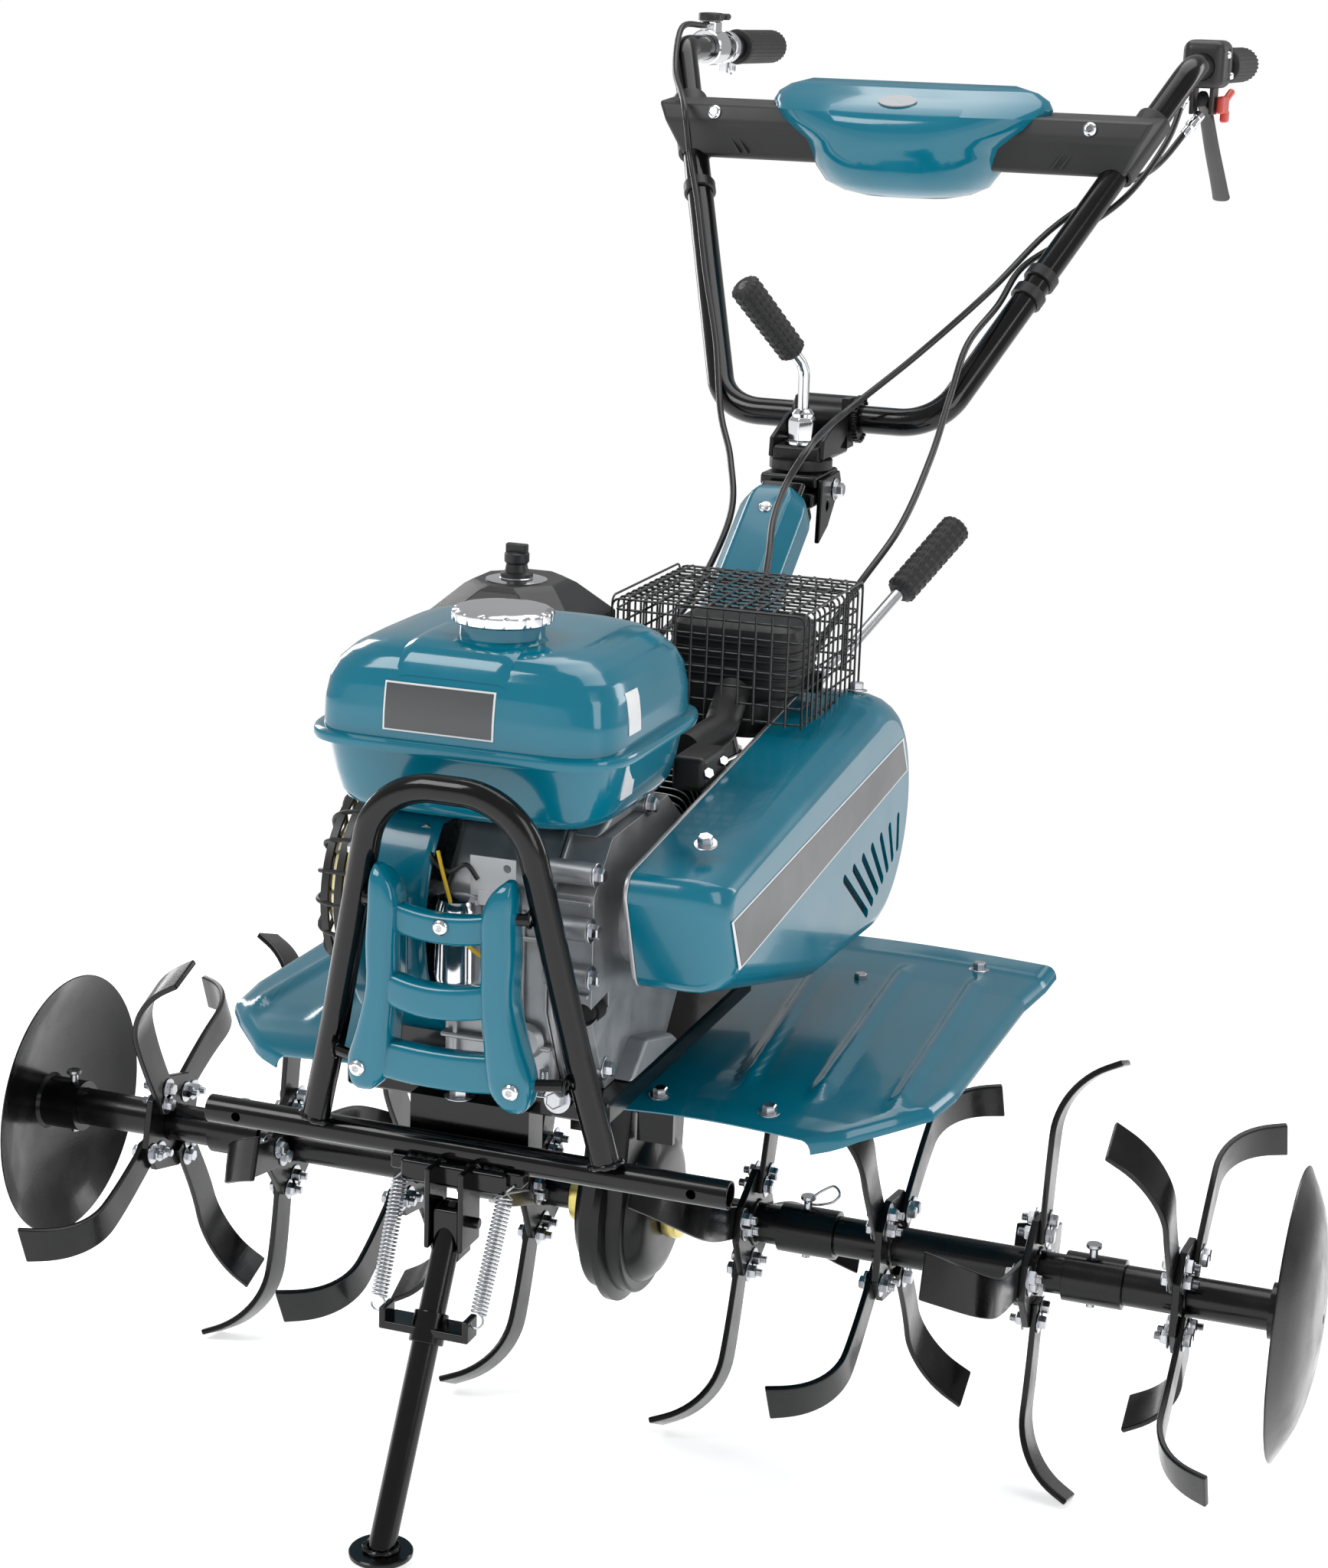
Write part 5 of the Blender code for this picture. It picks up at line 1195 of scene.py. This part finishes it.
FLANGE_THICK = 0.006
TINE_REACH = 0.172
ROOT_WIDTH = 0.026
TIP_WIDTH = 0.036
TINE_THICK = 0.005
TINE_TIP = 0.012
TINE_BEND = 0.062
TINE_TURN = math.radians(64)
TINE_SWEEP = math.radians(10)
RIGHT_STARS = ((0.1, 28, (-1, 1, 1, -1)), (0.216, 63, (-1, 1, 1, -1)), (0.334, 18, (-1, 1, -1, 1)),
    (0.452, 61, (-1, 1, -1, 1)))
LEFT_STARS = ((0.084, 28, (1, -1, 1, -1)), (0.2, 64, (1, 1, -1, -1)), (0.318, 18, (1, -1, 1, -1)),
    (0.436, 69, (1, -1, 1, -1)))


def tine(station, tip_angle, lean):
    """One flat-bar tine with rounded edges: bolted root, swept shank, tip bent sideways."""
    angle = tip_angle - TINE_SWEEP
    radial = Vector((0.0, -math.cos(angle), math.sin(angle)))
    trailing = Vector((0.0, math.sin(angle), math.cos(angle)))
    shift = lean * (FLANGE_THICK / 2 + TINE_THICK / 2 - 0.0002)
    start = TINE_REACH - TINE_BEND * math.sin(TINE_TURN) - TINE_TIP * math.cos(TINE_TURN)
    path = [(0.024 + (start - 0.024) * i / 8, 0.0, 0.0) for i in range(9)]
    for i in range(1, 13):
        turn = TINE_TURN * i / 12
        path.append((start + TINE_BEND * math.sin(turn), TINE_BEND * (1 - math.cos(turn)), turn))
    path.append((TINE_REACH, path[-1][1] + TINE_TIP * math.sin(TINE_TURN), TINE_TURN))
    rings = []
    for reach, offset, turn in path:
        swept = TINE_SWEEP * (reach / TINE_REACH) ** 3
        out = radial * math.cos(swept) + trailing * math.sin(swept)
        width = ROOT_WIDTH + (TIP_WIDTH - ROOT_WIDTH) * (reach / TINE_REACH) ** 2
        across = X_AXIS.cross(out) * (width / 2)
        through = (Vector((lean, 0, 0)) * math.cos(turn) - out * math.sin(turn)) * (TINE_THICK / 2)
        centre = out * reach + Vector((station + shift + lean * offset, 0, 0))
        rings.append([centre - across - through, centre + across - through, centre + across + through,
            centre - across + through])
    return changed(loft(rings), edge=0.0013, segments=2, angle=40)


def build_rotor():
    axle = turned((0, 0, 0), X_AXIS, [(0.016, -0.556), (0.016, -0.056), (0.0125, -0.056), (0.0125, 0.042),
        (0.016, 0.042), (0.016, 0.556)], 48)
    sockets = [turned((0, 0, 0), X_AXIS, [(0.0162, side * x), (0.0198, side * (x + 0.001)),
        (0.0198, side * (x + 0.048)), (0.0162, side * (x + 0.049))], 48) for side,
        x in ((1, 0.124), (-1, 0.108), (1, 0.358), (-1, 0.342))]
    make("tine_axle_tube", joined(axle, *sockets), BLADE_BLACK, "rotor", "tine_axle")
    for name, x0, x1 in (("left", -0.0535, -0.039), ("right", 0.027, 0.0405)):
        ring = [(0.0205, x0), (0.0238, x0 + 0.0008), (0.0247, x0 + 0.003), (0.0247, x1 - 0.003),
            (0.0238, x1 - 0.0008), (0.0205, x1), (0.0128, x1), (0.0128, x0)]
        make(f"axle_collar_{name}_ring", turned((0, 0, 0), X_AXIS, ring, 64, closed=True), GOLD, "rotor",
            f"axle_collar_{name}")

    for side, plans, name in ((1, RIGHT_STARS, "right"), (-1, LEFT_STARS, "left")):
        for index, (place, tip_angle, leans) in enumerate(plans, 1):
            station = side * place
            first = math.radians(tip_angle)
            corners = []
            for k in range(4):
                for wing in (-0.32, 0.32):
                    angle = first - TINE_SWEEP + math.pi / 2 * k + wing
                    corners.append((-0.046 * math.cos(angle), 0.046 * math.sin(angle)))
            hole = rod((station - 0.05, 0, 0), (station + 0.05, 0, 0), 0.0163, 36)
            plate = changed(prism_x(corners, station - 0.003, station + 0.003), cut=[hole], edge=0.001,
                segments=2)
            bead = weld(ring_points((station + side * 0.0032, 0, 0), X_AXIS, 0.0172, 32), 0.002, True)
            tines = [tine(station, first + math.pi / 2 * k, lean) for k, lean in enumerate(leans)]
            make(f"tine_star_{name}_{index}_forging", joined(plate, bead, *tines), BLADE_BLACK, "rotor",
                f"tine_star_{name}_{index}")
            bolts = []
            for k, lean in enumerate(leans):
                angle = first - TINE_SWEEP + math.pi / 2 * k
                radial = Vector((0.0, -math.cos(angle), math.sin(angle)))
                across = X_AXIS.cross(radial)
                for reach, shift in ((0.03, 0.0045), (0.04, -0.0045)):
                    spot = radial * reach + across * shift + Vector((station, 0, 0))
                    outer = X_AXIS * (lean * 0.008)
                    bolts.append(hex_bolt(spot + outer, X_AXIS * lean, 0.01, 0.0052))
                    bolts.append(hex_bolt(spot - X_AXIS * (lean * 0.0031), X_AXIS * -lean, 0.01, 0.0056,
                        thread=0.005))
            make(f"tine_bolts_{name}_{index}", joined(*bolts), ZINC, "rotor")

        profile = [(0.004, 0.5597), (0.016, 0.5595), (0.03, 0.5585), (0.042, 0.5574), (0.055, 0.556),
            (0.07, 0.553), (0.085, 0.549), (0.1, 0.5425), (0.112, 0.536), (0.114, 0.5352), (0.1145, 0.5345),
            (0.1138, 0.5337), (0.1, 0.5402), (0.085, 0.5465), (0.055, 0.5535), (0.033, 0.5555),
            (0.025, 0.5555), (0.0222, 0.553), (0.022, 0.52), (0.0163, 0.52), (0.0163, 0.5563),
            (0.004, 0.5563)]
        make(f"side_disc_{name}_pressing", turned((0, 0, 0), X_AXIS, [(r, side * x) for r, x in profile],
            112, closed=True), BLADE_BLACK, "rotor", f"side_disc_{name}")
    pins = []
    for side, station in ((1, 0.146), (-1, 0.13), (1, 0.38), (-1, 0.364), (1, 0.531), (-1, 0.531)):
        x = side * station
        reach = 0.0232 if abs(x) < 0.5 else 0.025
        pins.append(rod((x, 0, -reach), (x, 0, reach + 0.004), 0.0035, 20, 0.0006))
        pins.append(turned((x, 0, reach + 0.004), Z_AXIS, [(0.006, 0.0), (0.0065, 0.001), (0.006, 0.003)],
            24))
    make("axle_pins", joined(*pins), ZINC, "rotor")
    clip = smooth_path([(0.146, -0.006, 0.026), (0.15, 0.0, 0.03), (0.158, 0.004, 0.036),
        (0.166, 0.004, 0.04), (0.172, 0.0, 0.036), (0.168, -0.003, 0.03), (0.16, -0.002, 0.026),
        (0.15, 0.003, 0.022), (0.142, 0.004, 0.0215)], 5)
    make("axle_clip", sweep(clip, 0.0011, 12), ZINC, "rotor")


# ---- handlebar and controls -----------------------------------------------------------------
def handle_path(steps=14):
    corners = [(-HALF, 1.03, GRIP_HEIGHT), (-HALF, 0.742, GRIP_HEIGHT),
        (-0.101, BAR_BOTTOM.y, BAR_BOTTOM.z)]
    corners += [(-x, y, z) for x, y, z in reversed(corners)]
    return rounded_path(corners, (0.04, 0.05, 0.05, 0.04), steps)


def tube_bore():
    """The room that a fitting leaves for the handlebar tube."""
    return sweep(handle_path(), TUBE + 0.0004, 32)


def tube_point(side, share):
    """A point on a slanted tube of the handlebar, from its clamp at 0 to its upper bend at 1."""
    return Vector((side * (0.101 + 0.155 * share), 0.447 + 0.295 * share, 0.5965 + 0.3165 * share))


def build_handlebar():
    make("handlebar_tube", sweep(handle_path(), TUBE, 40), BLACK, "bars", "handlebar")
    for name, side in (("left", -1), ("right", 1)):
        start = Vector((side * HALF, 0.909, GRIP_HEIGHT))
        sleeve = nubbed(start, start + Y_AXIS * 0.122, 0.0176, 26, 15, 0.0009, 1.0, 0.26)
        collar = turned((side * HALF, 0.905, GRIP_HEIGHT), Y_AXIS,
            [(0.013, 0.0), (0.0172, 0.0008), (0.0182, 0.003), (0.0172, 0.0055)], 48)
        cap = turned((side * HALF, 1.03, GRIP_HEIGHT), Y_AXIS,
            [(0.013, -0.002), (0.0158, 0.0008), (0.0135, 0.0048), (0.006, 0.006), (0.001, 0.0058)], 48)
        make(f"grip_{name}_sleeve", joined(sleeve, collar, cap), RUBBER, "bars", f"grip_{name}", sharp=30)

    disc = turned(SWIVEL, Z_AXIS, [(0.0275, 0.0006), (0.028, 0.0012), (0.028, 0.009), (0.027, 0.01)], 64)
    arm = changed(block(-0.022, 0.022, SWIVEL.y - 0.018, 0.44, 0.5665, 0.5815), edge=0.003)
    tube_hole = rod(BAR_BOTTOM - X_AXIS * 0.1, BAR_BOTTOM + X_AXIS * 0.1, TUBE + 0.0004, 48)
    clamp = changed(turned(BAR_BOTTOM - X_AXIS * 0.03, X_AXIS,
        [(0.019, 0.0), (0.0205, 0.0015), (0.0205, 0.0585), (0.019, 0.06)], 56), cut=[tube_hole])
    ears = [changed(block(x - 0.0035, x + 0.0035, 0.424, 0.444, 0.572, 0.617), cut=[tube_hole.copy()],
        edge=0.0015) for x in (-0.022, 0.022)]
    teeth = []
    for i in range(28):
        a = 2 * math.pi * i / 28
        spot = Vector((0.027, BAR_BOTTOM.y + 0.02 * math.cos(a), BAR_BOTTOM.z + 0.02 * math.sin(a)))
        teeth.append(rod(spot, spot + X_AXIS * 0.005, 0.0016, 8))
    cheek = changed(prism_x([(0.35, 0.571), (0.392, 0.571), (0.43, 0.588), (0.426, 0.606), (0.396, 0.604),
        (0.352, 0.588)], 0.0215, 0.0255), edge=0.0012)
    make("head_bracket_casting", joined(disc, arm, clamp, cheek, mirrored(cheek), *ears, *teeth),
        CASTING_BLACK, "swivel_head", "head_bracket")
    studs = [hex_bolt((x, 0.402, 0.5818), Z_AXIS, 0.0095, 0.006, thread=0.006) for x in (-0.014, 0.014)]
    dome = turned((0.0302, BAR_BOTTOM.y, BAR_BOTTOM.z), X_AXIS,
        [(0.012, 0.0), (0.012, 0.0015), (0.0095, 0.005), (0.004, 0.0068), (0.0005, 0.007)], 40)
    make("head_bracket_studs", joined(*studs, dome, mirrored(dome)), CHROME, "swivel_head")

    base = SWIVEL + Z_AXIS * 0.0223
    nut = turned(base, Z_AXIS, [(0.015, 0.0), (0.015, 0.0022), (0.0132, 0.003)], 40)
    body = changed(turned(base, Z_AXIS, [(0.013, 0.003), (0.013, 0.02), (0.0105, 0.024)], 6), edge=0.001)
    neck = turned(base, Z_AXIS, [(0.0095, 0.0235), (0.01, 0.0265), (0.0075, 0.03), (0.0052, 0.031)], 36)
    knots = [base + Z_AXIS * 0.025, (0.0, 0.365, 0.65), (-0.04, 0.305, 0.724)]
    path = rounded_path(knots, (0.022,), 12)
    make("lock_lever_rod", joined(nut, body, neck, sweep(path, 0.005, 28)), CHROME, "lock", "lock_lever")
    grip_start = path[-2].lerp(path[-1], 0.1)
    make("lock_lever_grip", nubbed(grip_start, path[-1], 0.0128, 16, 11, 0.0012, 1.1, 0.34), RUBBER, "lock",
        sharp=20)


def build_console():
    tube = tube_bore()
    section = [(0.63, 0.846), (0.636, 0.864), (0.69, 0.868), (0.697, 0.84), (0.672, 0.812), (0.64, 0.812)]
    ends = [[(side * (0.2455 - 0.49 * (0.868 - z)), y, z) for y, z in section] for side in (-1, 1)]
    beam = changed(loft(ends), edge=0.0045)
    beam = changed(beam, cut=[tube])
    ribs = []
    for side in (-1, 1):
        for near, far in ((0.15, 0.168), (0.158, 0.176)):
            rib = loft([[(side * (near + t * (far - near)) + dx, 0.634 + dy, 0.818 + 0.026 * t) for dx,
                dy in ((-0.0012, 0.0), (0.0012, 0.0), (0.0012, 0.004), (-0.0012, 0.004))]
                for t in (0.0, 1.0)])
            ribs.append(rib)
    wraps = []
    for side in (-1, 1):
        wrap = sweep([tube_point(side, 0.69), tube_point(side, 0.845)], 0.017, 40)
        wraps.append(changed(changed(wrap, cut=[tube_bore()]), edge=0.001, segments=2, angle=50))
    make("console_beam", joined(beam, *ribs), CONSOLE_PLASTIC, "bars", "console_bar")
    make("console_wraps", joined(*wraps), CONSOLE_PLASTIC, "bars")
    screws = [dome_screw((side * 0.184, 0.6326, 0.8555), (0, -0.96, 0.3), 0.0068) for side in (-1, 1)]
    make("console_screws", joined(*screws), CHROME, "bars")

    # the cover is wide at the top and steps in at half its height to a round chin
    middle, back = 0.004, 0.668
    rings = []
    for z, half, front in ((0.7835, 0.04, 0.64), (0.788, 0.062, 0.622), (0.796, 0.08, 0.608),
            (0.81, 0.09, 0.598), (0.825, 0.096, 0.593), (0.834, 0.101, 0.592), (0.842, 0.113, 0.592),
            (0.852, 0.127, 0.593), (0.862, 0.135, 0.597), (0.87, 0.137, 0.61), (0.878, 0.133, 0.63),
            (0.885, 0.122, 0.648), (0.891, 0.1, 0.662)):
        ring = []
        for i in range(65):
            u = math.sin(math.pi * (i / 64 - 0.5))
            bulge = max(0.0, 1 - abs(u) ** 3) ** 0.5
            ring.append((middle + half * u, back - 0.001 - (back - front) * bulge, z))
        for i in range(1, 16):
            ring.append((middle + half * (1 - 2 * i / 16), back, z))
        rings.append(ring)
    shell = changed(loft(rings), edge=0.002, angle=40)
    make("console_cover_moulding", shell, TEAL_PLASTIC, "bars", "console_cover", sharp=50)
    badge = []
    for scale in (1.0, 0.55, 0.02):
        ring = []
        for i in range(64):
            a = 2 * math.pi * i / 64
            x = 0.003 + 0.0185 * scale * math.cos(a)
            rise = 0.0125 * scale * math.sin(a)
            ring.append((x, 0.6165 + 0.925 * rise, 0.8738 + 0.38 * rise))
        badge.append(ring)
    make("console_badge", changed(loft(badge, capped=False), skin=0.0014), BADGE_GREY, "bars")


def build_controls():
    x = HALF
    tube = tube_bore()
    shell = changed(block(x - 0.02, x + 0.022, 0.788, 0.84, GRIP_HEIGHT - 0.02, GRIP_HEIGHT + 0.0255),
        edge=0.01, segments=5)
    shell = changed(shell, cut=[tube])
    cheeks = [changed(block(x + a, x + a + 0.004, 0.8, 0.828, 0.868, GRIP_HEIGHT - 0.01), edge=0.0012)
        for a in (-0.0115, 0.0075)]
    split = changed(block(x - 0.0205, x + 0.0225, 0.813, 0.815, GRIP_HEIGHT - 0.012, GRIP_HEIGHT + 0.018),
        cut=[tube.copy()], edge=0.0004)
    make("clutch_housing_shell", joined(shell, split, *cheeks), PLASTIC, "bars", "clutch_housing")
    small = [dome_screw((x + 0.0222, 0.804, GRIP_HEIGHT + 0.012), X_AXIS, 0.0035),
        dome_screw((x + 0.0222, 0.826, GRIP_HEIGHT - 0.008), X_AXIS, 0.0035)]
    for at, aim in (((0.25, 0.79, 0.858), (-0.3, -0.62, -0.5)),
            ((0.242, 0.786, 0.884), (-0.1, -0.7, -0.62))):
        aim = Vector(aim).normalized()
        at = Vector(at) - aim * 0.012
        small.append(turned(at, aim, [(0.0052, -0.004), (0.0052, 0.002), (0.0044, 0.003), (0.0044, 0.01),
            (0.0056, 0.011), (0.0056, 0.016), (0.004, 0.018), (0.004, 0.026), (0.0033, 0.028)], 24))
    make("clutch_housing_fittings", joined(*small), CHROME, "bars")

    pivot = Vector((x, 0.814, 0.88))
    knots = [pivot - Y_AXIS * 0.008 + Z_AXIS * 0.003, pivot + Vector((0, 0.012, -0.006)),
        pivot + Vector((0, 0.034, -0.022)), pivot + Vector((0, 0.07, -0.048)),
        pivot + Vector((0, 0.112, -0.075)), pivot + Vector((0, 0.14, -0.0935)),
        pivot + Vector((0, 0.15, -0.1))]
    path = smooth_path(knots, 5)
    rings = []
    for i, point in enumerate(path):
        t = i / (len(path) - 1)
        ahead = path[min(i + 1, len(path) - 1)] - path[max(i - 1, 0)]
        normal = X_AXIS.cross(ahead).normalized()
        half_width = 0.0055 + 0.0035 * t
        half_thick = 0.008 - 0.0035 * t
        if t > 0.97:
            half_width *= 0.7
            half_thick *= 0.6
        rings.append([point + X_AXIS * px + normal * py for px,
            py in superellipse((0, 0), half_width, half_thick, 2.6, 24)])
    make("clutch_lever_blade", loft(rings), PLASTIC, "clutch", "clutch_lever")

    latch = changed(block(x + 0.0125, x + 0.02, 0.812, 0.846, 0.869, 0.8855), edge=0.0025)
    hook = changed(block(x + 0.0125, x + 0.02, 0.838, 0.852, 0.86, 0.872), edge=0.0025)
    horn = rod((x + 0.0162, 0.846, 0.882), (x + 0.02, 0.856, 0.89), 0.0035, 20, 0.001)
    make("clutch_latch_hook", joined(latch, hook, horn), RED, "latch", "clutch_latch")

    perch = changed(turned((-x, 0.804, GRIP_HEIGHT), Y_AXIS,
        [(0.0165, 0.0), (0.018, 0.0015), (0.018, 0.0325), (0.0165, 0.034)], 48), cut=[tube_bore()])
    post = changed(block(-x - 0.009, -x + 0.009, 0.81, 0.832, GRIP_HEIGHT + 0.014, GRIP_HEIGHT + 0.026),
        edge=0.002)
    band = changed(turned((-x, 0.862, GRIP_HEIGHT), Y_AXIS, [(0.013, 0.0), (0.0165, 0.001), (0.0165, 0.012),
        (0.013, 0.013)], 40), edge=0.0004)
    lug = changed(block(-x - 0.005, -x + 0.005, 0.8645, 0.8735, GRIP_HEIGHT - 0.027, GRIP_HEIGHT - 0.012),
        edge=0.0018)
    guide = turned((-x, 0.81, GRIP_HEIGHT + 0.0205), (0.0, -1, 0.02),
        [(0.005, 0.0), (0.005, 0.004), (0.004, 0.006), (0.004, 0.01)], 24)
    pinch = hex_bolt((-x + 0.0065, 0.8685, GRIP_HEIGHT - 0.021), X_AXIS, 0.008, 0.004)
    make("throttle_clamp", joined(perch, post, band, lug, guide, pinch), CHROME, "bars", "throttle_perch")
    top = GRIP_HEIGHT + 0.0263
    disc = turned((-x, 0.821, top), Z_AXIS, [(0.012, 0.0), (0.0127, 0.001), (0.0127, 0.0065),
        (0.0115, 0.008), (0.004, 0.0085)], 48)
    tongue = changed(block(-x - 0.0062, -x + 0.0062, 0.825, 0.862, top + 0.0022, top + 0.0062), edge=0.0015)
    paddle = changed(block(-x - 0.0085, -x + 0.0085, 0.85, 0.863, top + 0.001, top + 0.0075), edge=0.0028)
    make("throttle_thumb_lever", joined(disc, tongue, paddle), PLASTIC, "throttle", "throttle_lever")

    knots = [(0.025, 0.07, 0.352), (0.06, 0.08, 0.372), (0.107, 0.175, 0.442), (0.1614, 0.304, 0.532)]
    path = rounded_path(knots, (0.014, 0.06), 10)
    ball = turned((0.0125, 0.07, 0.352), X_AXIS,
        [(0.008, 0.0), (0.01, 0.002), (0.0105, 0.006), (0.0105, 0.012), (0.0095, 0.016), (0.0065, 0.018)],
        40)
    make("shift_lever_rod", joined(sweep(path, 0.0055, 28), ball), CHROME, "shifter", "shift_lever")
    last = path[-1]
    start = path[-2].lerp(last, 0.45)
    make("shift_lever_grip", nubbed(start, last, 0.0132, 16, 11, 0.0012, 1.04, 0.34), RUBBER, "shifter",
        sharp=20)

    clips = []
    for side, share in ((-1, 0.575), (1, 0.335), (1, 0.385)):
        start = tube_point(side, share)
        aim = (tube_point(side, 1.0) - start).normalized()
        clips.append(turned(start, aim, [(0.0128, 0.0), (0.0155, 0.0006), (0.0155, 0.011),
            (0.0128, 0.0116)], 40, closed=True))
    make("cable_clips", joined(*clips), PLASTIC, "bars")


CABLES = {"clutch_cable": [(0.25, 0.79, 0.858), (0.226, 0.74, 0.818), (0.196, 0.66, 0.797),
    (0.158, 0.6, 0.762), (0.126, 0.515, 0.712), (0.076, 0.46, 0.656), (0.034, 0.395, 0.612),
    (0.032, 0.34, 0.603), (0.032, 0.283, 0.591), (0.024, 0.25, 0.565), (0.026, 0.21, 0.54),
    (0.036, 0.17, 0.517), (0.05, 0.112, 0.47), (0.078, 0.098, 0.44), (0.103, 0.08, 0.434)],
    "shift_cable": [(0.242, 0.786, 0.884), (0.236, 0.74, 0.842), (0.213, 0.68, 0.7935),
    (0.174, 0.62, 0.757), (0.143, 0.57, 0.731), (0.134, 0.52, 0.7), (0.12, 0.47, 0.668),
    (0.119, 0.42, 0.625), (0.12, 0.36, 0.579), (0.117, 0.28, 0.53), (0.099, 0.2, 0.482), (0.06, 0.165, 0.4),
    (0.04, 0.15, 0.325), (0.022, 0.115, 0.3), (0.017, 0.085, 0.29)],
    "throttle_cable": [(-0.256, 0.8, 0.935), (-0.262, 0.75, 0.932), (-0.246, 0.69, 0.892),
    (-0.208, 0.612, 0.862), (-0.196, 0.6, 0.815), (-0.176, 0.57, 0.772), (-0.15, 0.524, 0.713),
    (-0.121, 0.476, 0.655), (-0.095, 0.42, 0.597), (-0.067, 0.37, 0.561), (-0.046, 0.31, 0.519),
    (-0.05, 0.22, 0.46), (-0.06, 0.12, 0.43), (-0.066, 0.02, 0.41), (-0.062, -0.066, 0.402)],}
# the knots where a cable leaves the bars, crosses to the swivel head and reaches the chassis
CROSSING = {"clutch_cable": (4, 6, 11), "shift_cable": (5, 7, 9), "throttle_cable": (6, 8, 11)}
PER_SPAN = 8


def build_cables():
    """Each cable is swept in two pieces that meet at its knot over the swivel head."""
    for name, knots in CABLES.items():
        path = smooth_path(knots, PER_SPAN)
        leaves, split, lands = CROSSING[name]
        cut = split * PER_SPAN
        make(f"{name}_upper", sweep(path[:cut + 1], 0.003, 16), SHEATH,
            ("bars", "swivel_head", knots[leaves], knots[split]), name)
        make(f"{name}_lower", sweep(path[cut:], 0.003, 16), SHEATH,
            ("swivel_head", "chassis", knots[split], knots[lands]), name)


build_studio()
build_front()
build_stand()
build_crankcase()
build_cylinder()
build_shroud()
build_tank()
build_intake()
build_exhaust()
build_belt_drive()
build_transmission()
build_fenders()
build_rotor()
build_handlebar()
build_console()
build_controls()
build_cables()
repaint(BLACK, "engine_base")
